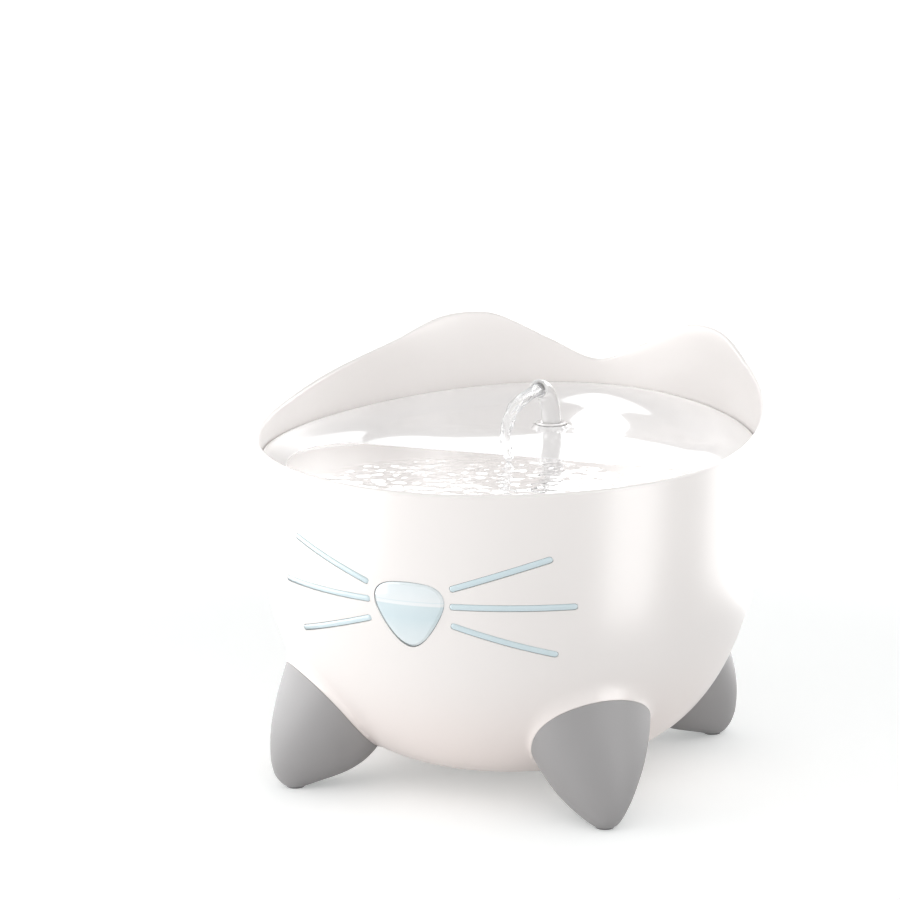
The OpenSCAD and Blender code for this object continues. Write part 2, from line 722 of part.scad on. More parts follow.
module light_cover() {
  color("whitesmoke") difference() {
    union() {
      block([-pod_w / 2, light_cover_y, pod_low_z], [pod_w / 2, light_cover_y + light_cover_t, pod_high_z]);
      for (x = [-1, 1], z = [-1, 1])
        rod_y(standoff_r, light_cover_y - standoff_len, light_cover_y + over,
          x * (board_w / 2 - standoff_in), nose_z + z * (board_h / 2 - standoff_in));
      rod_y(lead_r + 2, light_cover_y, light_cover_y + light_gland_len, light_lead_x, light_lead_z);
    }
    light_screw_holes(light_screw_r + 0.2, light_cover_y - over, light_cover_y + light_cover_t + over);
    rod_y(lead_r + 0.15, light_cover_y - over, light_cover_y + light_gland_len + over,
      light_lead_x, light_lead_z);
  }
}

module light_cover_screws() {
  head_y = light_cover_y + light_cover_t;
  color("silver") {
    light_screw_holes(light_screw_r, head_y - light_screw_len, head_y + over);
    light_screw_holes(2.2 * light_screw_r, head_y, head_y + 1.8);
  }
}

module light_lead() { color("white") lead(light_lead_route, lead_r); }

// ---- Power inlet ----

module power_inlet() {
  color("black") difference() {
    union() {
      rod_y(inlet_barrel_r, inlet_tail_y, inlet_seat_y + inlet_seal_t, 0, inlet_z);
      rod_y(inlet_flange_r, inlet_seat_y + inlet_seal_t, inlet_mouth_y, 0, inlet_z);
    }
    rod_y(inlet_bore_r, inlet_mouth_y - inlet_depth, inlet_mouth_y + over, 0, inlet_z);
  }
}

module inlet_pin() {
  pin_y = inlet_mouth_y - inlet_depth;
  color("silver") rod_y(inlet_pin_r, pin_y, pin_y + inlet_pin_len, 0, inlet_z);
}

module inlet_seal() {
  color("dimgray") difference() {
    rod_y(inlet_flange_r, inlet_seat_y, inlet_seat_y + inlet_seal_t, 0, inlet_z);
    rod_y(inlet_barrel_r + fit, inlet_seat_y - over, inlet_seat_y + 2 * over, 0, inlet_z);
  }
}

module inlet_nut() {
  color("silver") difference() {
    translate([0, inlet_boss_y - inlet_nut_t, inlet_z]) rotate([-90, 0, 0])
      cylinder(r = 9.6, h = inlet_nut_t, $fn = 6);
    rod_y(inlet_barrel_r + fit, inlet_boss_y - inlet_nut_t - over, inlet_boss_y + over, 0, inlet_z);
  }
}

// ---- Tray and spout ----

// Solid between the dish's upper face and one wall thickness below it
module dish_solid() {
  n = tray_sectors;
  angles = [for (k = [0 : n - 1]) 360 * k / n];
  rings = concat(
    [for (r = dish_top_rings) [for (a = angles) on_ring(r, a, dish_at(r, a))]],
    [[for (a = angles) on_ring(tray_r - tray_land, a, tray_edge(a))],
    [for (a = angles) on_ring(tray_r, a, tray_edge(a))],
    [for (a = angles) on_ring(tray_r, a, ledge_z)],
    [for (a = angles) on_ring(tray_r - tray_skirt_t, a, ledge_z)]],
    [for (r = dish_low_rings) [for (a = angles) on_ring(r, a, dish_at(r, a) - tray_t)]]);
  m = len(rings);
  points = concat([[0, 0, dish_floor(0)]], [for (ring = rings) for (p = ring) p],
    [[0, 0, dish_floor(0) - tray_t]]);
  last = m * n + 1;
  faces = concat(
    [for (k = [0 : n - 1]) [0, 1 + (k + 1) % n, 1 + k]],
    [for (i = [0 : m - 2]) for (k = [0 : n - 1])
      let (a = 1 + i * n + k, b = 1 + i * n + (k + 1) % n)
        for (f = [[a, b, b + n], [a, b + n, a + n]]) f],
    [for (k = [0 : n - 1]) [last, 1 + (m - 1) * n + k, 1 + (m - 1) * n + (k + 1) % n]]);
  polyhedron(points = points, faces = faces, convexity = 8);
}

module drinking_tray() {
  color("white") difference() {
    dish_solid();
    translate([0, spout_y, socket_foot_z]) cylinder(r = socket_r + fit, h = boss_top - socket_foot_z + over);
    for (i = [0 : drain_count - 1]) {
      a = drain_spread * (i - (drain_count - 1) / 2);
      translate([drain_ring_r * sin(a), -drain_ring_r * cos(a), pool_z - tray_t - over])
        cylinder(r = drain_r, h = tray_back_z - pool_z + tray_t);
    }
  }
}

module tray_socket() {
  color("white") translate([0, spout_y, 0]) rotate_extrude() polygon([
    [socket_bore_r, socket_foot_z], [socket_r, socket_foot_z], [socket_r, boss_top],
    [collar_sleeve_r + fit, boss_top], [collar_sleeve_r + fit, collar_seat_z],
    [socket_bore_r, collar_seat_z]]);
}

// Part of a ring about the spout's axis, centred on the back
module arc_behind(half, r1, r2, z1, z2) {
  rotate([0, 0, 90 - half]) rotate_extrude(angle = 2 * half)
    polygon([[r1, z1], [r2, z1], [r2, z2], [r1, z2]]);
}

module spout_collar() {
  color("white") translate([0, spout_y, 0]) difference() {
    rotate_extrude() polygon([
      [spout_r + fit, collar_seat_z], [collar_sleeve_r, collar_seat_z],
      [collar_sleeve_r, boss_top], [collar_r, boss_top],
      [collar_r, boss_top + 0.6 * collar_flange_t], [collar_r - 0.7, boss_top + collar_flange_t],
      [spout_r + 1.9, boss_top + collar_flange_t], [spout_r + fit, boss_top - 0.5]]);
    arc_behind(stop_half + spout_swing + stop_slack, spout_r - 1, stop_r + 0.2,
      collar_seat_z - over, spout_low_z + stop_h + loose);
  }
}

module spout() {
  bend_z = boss_top + collar_flange_t + 0.1;
  color("gainsboro") translate([0, spout_y, 0]) {
    tube(spout_r, spout_bore_r, spout_low_z, bend_z);
    arc_behind(stop_half, spout_r - 0.5, stop_r, spout_low_z, spout_low_z + stop_h);
    translate([0, -spout_bend_r, bend_z]) rotate([90, 0, 90]) rotate_extrude(angle = spout_bend)
      translate([spout_bend_r, 0]) difference() {
        circle(r = spout_r, $fn = 48);
        circle(r = spout_bore_r, $fn = 48);
      }
  }
}

module riser_tube() {
  color("lightgray") translate([0, spout_y, 0]) tube(riser_r, riser_bore_r, riser_low_z, riser_top_z);
}

// ---- Well and filter unit ----

module pump_well() {
  color("whitesmoke") translate([0, well_y, 0]) difference() {
    rotate_extrude() polygon([[0, floor_z], [well_r - well_chamfer, floor_z],
      [well_r, floor_z + well_chamfer], [well_r, well_top_z], [well_in_r, well_top_z],
      [well_in_r, floor_z + well_chamfer + 0.8],
      [well_r - well_chamfer - 1.2, floor_z + well_floor_t], [0, floor_z + well_floor_t]]);
    translate([0, 0, floor_z - over]) cylinder(r = peg_r + 0.15, h = peg_h + 0.2 + over);
    translate([lead_hole_at[0], lead_hole_at[1] - well_y, lead_hole_z])
      rotate([0, -90, -lead_hole_turn]) translate([0, 0, -6]) cylinder(r = lead_r + 0.6, h = 14);
  }
}

module riser_hole(r, z1, z2) {
  translate([0, spout_y - well_y, z1]) cylinder(r = r, h = z2 - z1);
}

// Slots for the water, in rows clear of the riser
module water_slots(z1, z2, reach = 100) {
  for (i = [-3 : 3]) {
    x = i * slot_pitch;
    half = sqrt(pow(basket_in_r - 4, 2) - x * x);
    top = abs(x) < sleeve_r + slot_w ? slot_short : half;
    block([x - slot_w / 2, -min(half, reach), z1], [x + slot_w / 2, top, z2]);
  }
}

module filter_basket() {
  color("gainsboro") translate([0, well_y, 0]) difference() {
    union() {
      difference() {
        rotate_extrude() polygon([[0, basket_low_z], [basket_r, basket_low_z], [basket_r, well_top_z],
          [well_r, well_top_z], [well_r, lid_z], [0, lid_z]]);
        translate([0, 0, basket_low_z + basket_wall]) cylinder(r = basket_in_r, h = lid_z - basket_low_z);
      }
      riser_hole(sleeve_r, basket_low_z, lid_z);
    }
    riser_hole(sleeve_bore_r, basket_low_z - over, lid_z + over);
    water_slots(basket_low_z - over, basket_low_z + basket_wall + over);
  }
}

module filter_disc(z1, z2) {
  difference() {
    translate([0, well_y, z1]) cylinder(r = basket_in_r - cartridge_gap, h = z2 - z1);
    translate([0, spout_y, z1 - over]) cylinder(r = sleeve_r + cartridge_gap, h = z2 - z1 + 2 * over);
  }
}

module filter_foam() {
  color("slategray") filter_disc(basket_low_z + basket_wall, basket_low_z + basket_wall + foam_t);
}

module filter_cartridge() {
  color("ivory") filter_disc(basket_low_z + basket_wall + foam_t, cartridge_top_z);
}

module filter_lid() {
  color("whitesmoke") translate([0, well_y, 0]) difference() {
    union() {
      translate([0, 0, lid_z]) cylinder(r = well_r, h = lid_t);
      block([-handle_w / 2, -handle_y - handle_t, lid_z], [handle_w / 2, -handle_y, lid_z + handle_h]);
    }
    riser_hole(sleeve_bore_r, lid_z - over, lid_z + lid_t + over);
    water_slots(lid_z - over, lid_z + lid_t + over, lid_slot_reach);
    translate([0, over - handle_y, lid_z + lid_t + handle_h / 3]) rotate([90, 0, 0])
      cylinder(r = handle_t / 2, h = handle_t + 2 * over);
  }
}

// ---- Pump ----

module pump_housing() {
  color("dimgray") difference() {
    union() {
      difference() {
        block([-motor_w / 2, motor_back_y, motor_low_z], [motor_w / 2, motor_front_y, motor_top_z]);
        block([-stator_w / 2 - stator_gap, motor_back_y - over, pump_z - stator_h / 2 - stator_gap],
          [stator_w / 2 + stator_gap, stator_front_y, pump_z + stator_h / 2 + stator_gap]);
      }
      rod_y(volute_r, motor_front_y, volute_front_y, 0, pump_z);
      rod_y(chamber_r + chamber_wall, chamber_back_y - chamber_wall, motor_front_y, 0, pump_z);
      translate([0, spout_y, nipple_low_z])
        cylinder(r = nipple_r + nipple_step, h = riser_low_z - nipple_low_z);
      translate([0, spout_y, nipple_low_z]) cylinder(r = nipple_r, h = nipple_top_z - nipple_low_z);
    }
    rod_y(volute_bore_r, motor_front_y + 0.6, volute_front_y + over, 0, pump_z);
    rod_y(chamber_r, chamber_back_y, motor_front_y + over, 0, pump_z);
    translate([0, spout_y, pump_z + volute_bore_r - 2])
      cylinder(r = nipple_bore_r, h = nipple_top_z - pump_z);
    for (s = cup_spots) translate([s[0], s[1], motor_low_z - over]) cylinder(r = 1.5 + fit, h = 2 + over);
  }
}

module pump_end_cap() {
  color("dimgray") difference() {
    union() {
      block([-motor_w / 2, motor_back_y - end_cap_t, motor_low_z], [motor_w / 2, motor_back_y, motor_top_z]);
      rod_y(lead_r + 1.5, motor_back_y - lead_gland_len, motor_back_y, lead_gland_at[0], lead_gland_at[1]);
    }
    rod_y(lead_r + 0.15, motor_back_y - lead_gland_len - over, motor_back_y + over,
      lead_gland_at[0], lead_gland_at[1]);
  }
}

module stator_coil() {
  color("peru") difference() {
    block([-stator_w / 2, motor_back_y, pump_z - stator_h / 2],
      [stator_w / 2, stator_front_y, pump_z + stator_h / 2]);
    rod_y(chamber_r + chamber_wall + stator_gap, chamber_back_y - chamber_wall - stator_gap,
      stator_front_y + over, 0, pump_z);
  }
}

module rotor_magnet() {
  color("darkslategray") difference() {
    rod_y(magnet_r, chamber_back_y + bush_len + 0.4, impeller_back_y, 0, pump_z);
    rod_y(shaft_r + fit, chamber_back_y, impeller_back_y + over, 0, pump_z);
  }
}

module impeller() {
  color("white") difference() {
    union() {
      rod_y(hub_r, impeller_back_y, impeller_front_y, 0, pump_z);
      rod_y(impeller_r, impeller_back_y, impeller_back_y + 1.2, 0, pump_z);
      for (i = [0 : blade_count - 1]) translate([0, 0, pump_z]) rotate([0, 360 * i / blade_count, 0])
        block([hub_r - 0.5, impeller_back_y + 0.6, -blade_t / 2],
          [impeller_r - 0.3, impeller_front_y - 1, blade_t / 2]);
    }
    rod_y(shaft_r + fit, impeller_back_y - over, impeller_front_y + over, 0, pump_z);
  }
}

module impeller_shaft() {
  color("gainsboro") rod_y(shaft_r, chamber_back_y + 0.2, cover_y + cover_t - 0.8, 0, pump_z);
}

module shaft_bush(y) {
  difference() {
    rod_y(bush_r, y, y + bush_len, 0, pump_z);
    rod_y(shaft_r + 0.02, y - over, y + bush_len + over, 0, pump_z);
  }
}

module shaft_bush_rear() { color("black") shaft_bush(chamber_back_y); }
module shaft_bush_front() { color("black") shaft_bush(cover_y); }

module pump_cover() {
  color("dimgray") difference() {
    union() {
      difference() {
        rod_y(volute_r, cover_y, cover_y + cover_t, 0, pump_z);
        rod_y(inlet_hole_r, cover_y - over, cover_y + cover_t + over, 0, pump_z);
      }
      rod_y(bush_r + 1, cover_y, cover_y + cover_t, 0, pump_z);
      for (i = [0 : 2]) translate([0, 0, pump_z]) rotate([0, 120 * i + 30, 0])
        block([0, cover_y, -0.8], [inlet_hole_r + 1, cover_y + cover_t, 0.8]);
      regulator_rail();
      mirror([1, 0, 0]) regulator_rail();
    }
    rod_y(bush_r, cover_y - over, cover_y + bush_len, 0, pump_z);
    rod_y(shaft_r + 0.1, cover_y - over, cover_y + cover_t - 0.7, 0, pump_z);
  }
}

// Rail with a lip that holds one edge of the regulator
module regulator_rail() {
  back = cover_y + cover_t;
  lip_y = back + regulator_gap + regulator_t + loose;
  edge = regulator_w / 2 + loose;
  block([edge, back - 0.5, rail_low_z], [edge + rail_w, lip_y + 0.6, rail_top_z]);
  block([edge - rail_lip, lip_y, rail_low_z], [edge + rail_w, lip_y + 0.6, rail_top_z]);
}

module flow_regulator() {
  y = cover_y + cover_t + regulator_gap;
  color("white") {
    block([-regulator_w / 2, y, regulator_low_z],
      [regulator_w / 2, y + regulator_t, regulator_low_z + regulator_h]);
    rod_y(1.6, y + regulator_t - 0.2, y + regulator_t + 1.2, 0, regulator_low_z + 3);
  }
}

module suction_cups() {
  color("lightgray") for (s = cup_spots) translate([s[0], s[1], 0]) rotate_extrude() polygon([
    [0, motor_low_z - cup_h + 1.2], [cup_r - 0.8, motor_low_z - cup_h], [cup_r, motor_low_z - cup_h],
    [cup_r, motor_low_z - cup_h + 0.8], [2, motor_low_z - 1.6], [2.6, motor_low_z],
    [1.5, motor_low_z], [1.5, motor_low_z + 1.9], [0, motor_low_z + 1.9]]);
}

module pump_lead() { color("white") lead(pump_lead_route, lead_r); }

// ---- Nodes ----

body_shell();
foot_front_left();
foot_front_right();
foot_rear_left();
foot_rear_right();
foot_pads();
foot_screws();
nose_window();
whisker_left_upper();
whisker_left_middle();
whisker_left_lower();
whisker_right_upper();
whisker_right_middle();
whisker_right_lower();
light_board();
light_leds();
light_gasket();
light_cover();
light_cover_screws();
light_lead();
power_inlet();
inlet_pin();
inlet_seal();
inlet_nut();
drinking_tray();
tray_socket();
spout_collar();
spout();
riser_tube();
pump_well();
filter_basket();
filter_foam();
filter_cartridge();
filter_lid();
pump_housing();
pump_end_cap();
stator_coil();
rotor_magnet();
impeller();
impeller_shaft();
shaft_bush_front();
shaft_bush_rear();
pump_cover();
flow_regulator();
suction_cups();
pump_lead();
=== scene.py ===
"""Dresses the pet water fountain: bowl, feet, face, tray, spout, water, inner pieces and stage."""

import json
import math
from contextlib import contextmanager

import bmesh
import bpy
import numpy as np
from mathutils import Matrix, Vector


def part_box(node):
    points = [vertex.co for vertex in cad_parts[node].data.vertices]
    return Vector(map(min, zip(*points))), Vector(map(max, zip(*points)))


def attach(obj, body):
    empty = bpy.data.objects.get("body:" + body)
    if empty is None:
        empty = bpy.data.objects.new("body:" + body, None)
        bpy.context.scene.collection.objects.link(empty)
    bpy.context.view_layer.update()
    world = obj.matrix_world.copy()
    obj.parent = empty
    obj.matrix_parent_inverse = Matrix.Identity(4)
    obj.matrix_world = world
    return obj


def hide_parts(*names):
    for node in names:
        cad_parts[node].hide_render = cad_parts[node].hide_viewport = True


bl_info = {
    "name": "Pet Water Fountain",
    "version": (1, 0, 0),
    "blender": (4, 5, 0),
    "location": "3D View > Sidebar > Fountain",
    "description": "Models and finishes a pet water fountain round its packed frame",
    "category": "Object",
}

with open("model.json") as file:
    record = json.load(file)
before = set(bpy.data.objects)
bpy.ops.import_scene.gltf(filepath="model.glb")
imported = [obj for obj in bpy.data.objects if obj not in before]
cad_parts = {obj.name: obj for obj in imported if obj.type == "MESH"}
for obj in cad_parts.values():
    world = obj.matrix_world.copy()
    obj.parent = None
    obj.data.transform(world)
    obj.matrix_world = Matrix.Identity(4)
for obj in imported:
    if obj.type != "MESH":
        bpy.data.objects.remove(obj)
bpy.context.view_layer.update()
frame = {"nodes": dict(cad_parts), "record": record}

SHELL_LOW, SHELL_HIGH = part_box("body_shell")
TRAY_LOW, TRAY_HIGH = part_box("drinking_tray")
COLLAR_LOW, COLLAR_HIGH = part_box("spout_collar")
SOCKET_LOW, SOCKET_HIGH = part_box("tray_socket")
SPOUT_LOW, SPOUT_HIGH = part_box("spout")
INLET_LOW, INLET_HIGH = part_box("power_inlet")
GASKET_LOW, GASKET_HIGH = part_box("light_gasket")
NODE_SLOTS = {piece["node"]: piece["material_slot"] for piece in frame["record"]["subparts"]}


# ---- Settings ----

def length(name, default, description):
    """A length property in metres"""
    return bpy.props.FloatProperty(
        name=name, default=default, description=description, unit="LENGTH", subtype="DISTANCE", precision=5)


def angle(name, degrees, description):
    """An angle property, given in degrees"""
    return bpy.props.FloatProperty(
        name=name, default=math.radians(degrees), description=description, unit="ROTATION", subtype="ANGLE")


def number(name, default, description):
    """A plain number property"""
    return bpy.props.FloatProperty(name=name, default=default, description=description)


def colour(name, default, description):
    """A colour property"""
    return bpy.props.FloatVectorProperty(
        name=name, default=default, description=description, subtype="COLOR", size=3, min=0, max=1)


class BowlSettings(bpy.types.PropertyGroup):
    """Sizes of the bowl"""
    radius: length("Radius", SHELL_HIGH.x, "Outer radius of the bowl at its widest")
    wall: length("Wall", 0.003, "Thickness of the wall")
    base: length("Base height", 0.0135, "Height of the underside above the floor")
    upright: length("Upright height", 0.150, "Height where the curved side turns upright")
    drop: length("Side drop", 0.145, "Height over which the side's curve would close at the axis")
    ledge: length("Ledge height", 0.146, "Height of the ledge that carries the tray")
    ledge_depth: length("Ledge depth", 0.0045, "How far the ledge stands in from the wall")
    rim_front: length("Front rim", 0.157, "Height of the rim at the front")
    rim_side: length("Side rim", 0.168, "Height of the rim at the sides")
    ear_tip: length("Ear tip", SHELL_HIGH.z, "Height of the ears' tips")
    rim_back: length("Back rim", 0.179, "Height of the dip between the ears")
    shoulder: length("Shoulder", 0.0036, "Thickness of a shoulder at the foot's upper edge")
    shoulder_top: length("Shoulder join height", 0.060, "Height where a shoulder has that thickness")
    sectors: bpy.props.IntProperty(name="Sectors", default=480, min=48, description="Sectors round the bowl")


class FootSettings(bpy.types.PropertyGroup):
    """Sizes of the feet"""
    tip: length("Tip radius", 0.110, "Distance from the axis to a foot's tip")
    reach: length("Reach", 0.1215, "Greatest radial reach of a foot")
    half_width: length("Half width", 0.0305, "Half of a foot's width where it is widest")
    front_angle: angle("Front angle", 45, "Angle from the face to each front foot")
    rear_angle: angle("Rear angle", 134.5, "Angle from the face to each rear foot")
    joint_gap: length("Joint gap", 0.00022, "Gap between a foot and its shoulder")


class FaceSettings(bpy.types.PropertyGroup):
    """Sizes of the nose and whiskers"""
    nose_radius: length("Nose radius", 0.0159, "Mean radius of the nose's outline")
    nose_height: length("Nose height", 0.1035, "Height of the nose's middle")
    nose_proud: length("Nose proud", 0.0018, "How far the nose's dome stands out of the wall")
    dome_radius: length("Dome radius", 0.062, "Radius of the nose's dome")
    dome_lean: angle("Dome lean", 7.5, "How far the nose's dome leans up")
    bar_width: length("Bar width", 0.0028, "Width of a whisker bar")
    bar_proud: length("Bar proud", 0.0005, "How far a whisker bar stands out of the wall")
    bar_depth: length("Bar depth", 0.0015, "How deep a whisker bar lies in the wall")
    gap: length("Gap", 0.00014, "Gap round the nose and the whiskers")


class TraySettings(bpy.types.PropertyGroup):
    """Sizes of the drinking tray"""
    radius: length("Radius", TRAY_HIGH.x, "Outer radius of the tray")
    thickness: length("Thickness", 0.0024, "Thickness of the tray")
    land: length("Land", 0.002, "Width of the flat edge")
    front: length("Front edge", 0.1526, "Height of the edge at the front")
    back: length("Back edge", 0.1666, "Height of the edge at the back")
    pool: length("Pool bottom", 0.142, "Height of the pool's bottom")
    plateau: length("Plateau", 0.1546, "Height of the raised part beside the spout")
    floor_radius: length("Floor radius", 0.088, "Radius of the dish's floor")
    drains: bpy.props.IntProperty(name="Drains", default=9, min=1, description="Number of drain holes")
    drain_radius: length("Drain radius", 0.0024, "Radius of a drain hole")
    drain_ring: length("Drain ring", 0.107, "Radius of the ring that the drain holes lie on")
    drain_pitch: angle("Drain pitch", 11, "Angle between two drain holes")
    socket_radius: length("Socket radius", 0.0086, "Radius of the boss under the collar")


class SpoutSettings(bpy.types.PropertyGroup):
    """Sizes of the spout and its collar"""
    place: length("Place", (COLLAR_LOW.y + COLLAR_HIGH.y) / 2, "Distance from the axis back to the spout")
    radius: length("Radius", SPOUT_HIGH.x, "Outer radius of the spout")
    bore: length("Bore", 0.0027, "Bore radius of the spout's foot")
    swell: number("Swell", 1.2, "Thickness of the spout above its collar, as a share of its foot's")
    bend_radius: length("Bend radius", 0.019, "Radius of the bend at its middle")
    bend: angle("Bend", 85, "Angle of the bend")
    collar_radius: length("Collar radius", COLLAR_HIGH.x, "Radius of the collar's flange")
    sleeve_radius: length("Sleeve radius", 0.0059, "Radius of the collar's sleeve")
    flange: length("Flange", 0.0011, "Thickness of the collar's flange")


class WaterSettings(bpy.types.PropertyGroup):
    """The water in the tray and the falling stream"""
    level: length("Level", 0.148, "Height of the pool's surface")
    ripple: length("Ripple", 0.00020, "Height of the ripples")
    landing: length("Landing", -0.0015, "Distance back from the axis to where the stream lands")
    stream_radius: length("Stream radius", 0.0021, "Mean radius of the stream")


class StageSettings(bpy.types.PropertyGroup):
    """Camera, lights and floor"""
    azimuth: angle("Azimuth", 22.1, "Angle of the camera round the fountain")
    elevation: angle("Elevation", 14.08, "Angle of the camera above the horizon")
    distance: length("Distance", 1.3, "Distance of the camera from its target")
    target: length("Target height", 0.09, "Height of the point that the camera looks at")
    focal: number("Focal length", 108.28, "Focal length in millimetres on a 36 mm sensor")
    shift_x: number("Shift X", -0.0666, "Sideways shift of the lens")
    shift_y: number("Shift Y", 0.1437, "Upward shift of the lens")
    world_light: number("World light", 0.62, "Strength of the even light all round")
    key_power: number("Key power", 3.3, "Power of the soft light at the left, in watts")
    low_power: number("Low power", 0.75, "Power of the low light at the left, in watts")
    front_power: number("Front power", 1.6, "Power of the soft light at the front right, in watts")
    fill_power: number("Fill power", 2.1, "Power of the soft light overhead, in watts")
    panel_light: number("Panel light", 4.5, "Brightness of the panels that the gloss mirrors")
    sky_light: number("Sky light", 1.35, "Brightness of the panel behind that the tray mirrors")
    floor_lift: number("Floor lift", 0.30, "Glow of the floor round the fountain, which keeps its shadow pale")


class FinishSettings(bpy.types.PropertyGroup):
    """Colours of the finishes"""
    shell: colour("Shell", (0.93, 0.895, 0.875), "White gloss plastic of the bowl")
    tray: colour("Tray", (0.92, 0.905, 0.90), "White gloss plastic of the tray")
    foot: colour("Foot", (0.36, 0.353, 0.355), "Grey satin plastic of the feet")
    window: colour("Window", (0.70, 0.82, 0.86), "Pale blue plastic of the nose and whiskers")
    # Painted shade of the ripples: the clear water takes this tint where it ripples
    water: colour("Water", (0.885, 0.893, 0.935), "Tint of the water's ripples")


# ---- Shapes ----

# Angle from the face and height of the rim, as a share of the rise between two of its heights
EAR_ANGLE = 148
EAR_SIDE_SHARES = ((110, 0.30), (128, 0.62), (EAR_ANGLE - 8, 0.93))
EAR_BACK_SHARES = ((EAR_ANGLE + 7, 0.93), (168, 0.40))
FRONT_SHARES = ((35, 0.12), (65, 0.38))

# Power of the curve of the bowl's side
SIDE_CURVE = 2.5
# How far a shoulder stands out at the bowl's underside
SHOULDER_LOW = 0.0004

# The dish: start and length of its ramp; start of the rise behind the spout, how soft that start is, and the
# power of that rise; powers of the slope up to the edge and of the edge's own rise
RAMP_START, RAMP_RUN = -0.024, 0.076
RISE_START, RISE_SOFT, RISE_CURVE = 0.046, 0.05, 1.3
SLOPE_CURVE, EDGE_CURVE = 1.35, 3.2

# Slices of a foot: height, reach past the outer line, reach short of the tip, share of the half width
FOOT_SLICES = (
    (0.0008, -0.0065, 0.005, 0.157), (0.0025, -0.0044, 0.011, 0.24), (0.007, -0.0014, 0.028, 0.39),
    (0.015, 0.0, 0.039, 0.59), (0.028, -0.001, 0.046, 0.82), (0.042, -0.0046, 0.048, 0.96),
    (0.055, -0.0092, 0.048, 1.0), (0.0615, -0.0114, 0.048, 0.96), (0.067, -0.014, 0.048, 0.80))

# Whisker bars, from the nose's middle: inner end (x, z), outer end (x, z)
WHISKERS = {
    "upper": ((0.0208, 0.0114), (0.0608, 0.0250)),
    "middle": ((0.0205, 0.0031), (0.0696, 0.0031)),
    "lower": ((0.0205, -0.0060), (0.0610, -0.0191))}


def smooth_at(stations, x):
    """Smooth curve through (position, value) pairs, for one position or an array of them"""
    xs, ys = np.array(stations, float).T
    slopes = np.empty_like(ys)
    slopes[1:-1] = (ys[2:] - ys[:-2]) / (xs[2:] - xs[:-2])
    slopes[0] = (ys[1] - ys[0]) / (xs[1] - xs[0])
    slopes[-1] = (ys[-1] - ys[-2]) / (xs[-1] - xs[-2])
    i = np.clip(np.searchsorted(xs, x) - 1, 0, len(xs) - 2)
    width = xs[i + 1] - xs[i]
    t = np.clip((x - xs[i]) / width, 0, 1)
    return (ys[i] * (2 * t**3 - 3 * t**2 + 1) + slopes[i] * width * (t**3 - 2 * t**2 + t)
            + ys[i + 1] * (3 * t**2 - 2 * t**3) + slopes[i + 1] * width * (t**3 - t**2))


def eased(t):
    """Smooth step from 0 to 1"""
    t = np.clip(t, 0, 1)
    return t * t * (3 - 2 * t)


def outer_radius(bowl, z, depth=0.0):
    """Radius of the bowl's outer face at a height, or of the face at a depth inside it"""
    t = np.clip((bowl.upright - np.asarray(z)) / (bowl.drop - depth), 0, 1)
    return (bowl.radius - depth) * np.cbrt(1 - t**SIDE_CURVE)


def inner_radius(bowl, z):
    """Radius of the bowl's inner face at a height"""
    return outer_radius(bowl, z, bowl.wall)


def rim_height(bowl, degrees):
    """Height of the rim at an angle from the face, in degrees"""
    rise = bowl.rim_side - bowl.rim_front
    ear = bowl.ear_tip - bowl.rim_side
    dip = bowl.ear_tip - bowl.rim_back
    stations = [(-35, bowl.rim_front + 0.12 * rise), (0, bowl.rim_front)]
    stations += [(a, bowl.rim_front + share * rise) for a, share in FRONT_SHARES]
    stations += [(90, bowl.rim_side)]
    stations += [(a, bowl.rim_side + share * ear) for a, share in EAR_SIDE_SHARES]
    stations += [(EAR_ANGLE, bowl.ear_tip)]
    stations += [(a, bowl.rim_back + share * dip) for a, share in EAR_BACK_SHARES]
    stations += [(180, bowl.rim_back), (192, bowl.rim_back + 0.40 * dip)]
    return smooth_at(stations, degrees)


def from_face(x, y):
    """Angle from the face, 0 at the front and 180 degrees at the back"""
    return np.degrees(np.arctan2(np.abs(x), -np.asarray(y)))


def shoulder_at(bowl, z):
    """How far the surface that parts a foot from its shoulder stands out of the bowl"""
    share = np.clip((z - bowl.base) / (bowl.shoulder_top - bowl.base), 0, 1.3)
    return SHOULDER_LOW + (bowl.shoulder - SHOULDER_LOW) * share


def foot_slice(foot, z):
    """Middle, half depth and half width of a foot's slice at a height"""
    outer = smooth_at([(s[0], foot.reach + s[1]) for s in FOOT_SLICES], z)
    inner = smooth_at([(s[0], foot.tip - s[2]) for s in FOOT_SLICES], z)
    half = smooth_at([(s[0], foot.half_width * s[3]) for s in FOOT_SLICES], z)
    return (outer + inner) / 2, (outer - inner) / 2, half


def foot_distance(foot, r, turn, z):
    """About how far a point lies outside a foot; turn is its angle from the foot's middle, in radians"""
    middle, deep, half = foot_slice(foot, z)
    x, y = r * np.cos(turn) - middle, r * np.sin(turn)
    q = (x / deep)**2 + (y / half)**2
    slope = 2 * np.sqrt((x / deep**2)**2 + (y / half**2)**2) + 1e-9
    return (q - 1) / slope


def tray_edge(tray, degrees):
    """Height of the tray's edge at an angle from the face"""
    return tray.front + (tray.back - tray.front) * ((1 - np.cos(np.radians(degrees))) / 2)**EDGE_CURVE


def dish_floor(tray, y):
    """Height of the dish's floor, which rises in a ramp towards the back"""
    ramp = (tray.plateau - tray.pool) * eased((y - RAMP_START) / RAMP_RUN)
    share = np.maximum(0, y - RISE_START) / (tray.radius - RISE_START)
    rise = np.hypot(share, RISE_SOFT)**RISE_CURVE - RISE_SOFT**RISE_CURVE
    return tray.pool + ramp + (tray.back - tray.plateau - 0.0003) * rise


def dish_height(tray, x, y):
    """Height of the dish's upper face"""
    r = np.hypot(x, y)
    floor = dish_floor(tray, y)
    share = np.clip((r - tray.floor_radius) / (tray.radius - tray.land - tray.floor_radius), 0, 1)
    return floor + (tray_edge(tray, from_face(x, y)) - floor) * share**SLOPE_CURVE


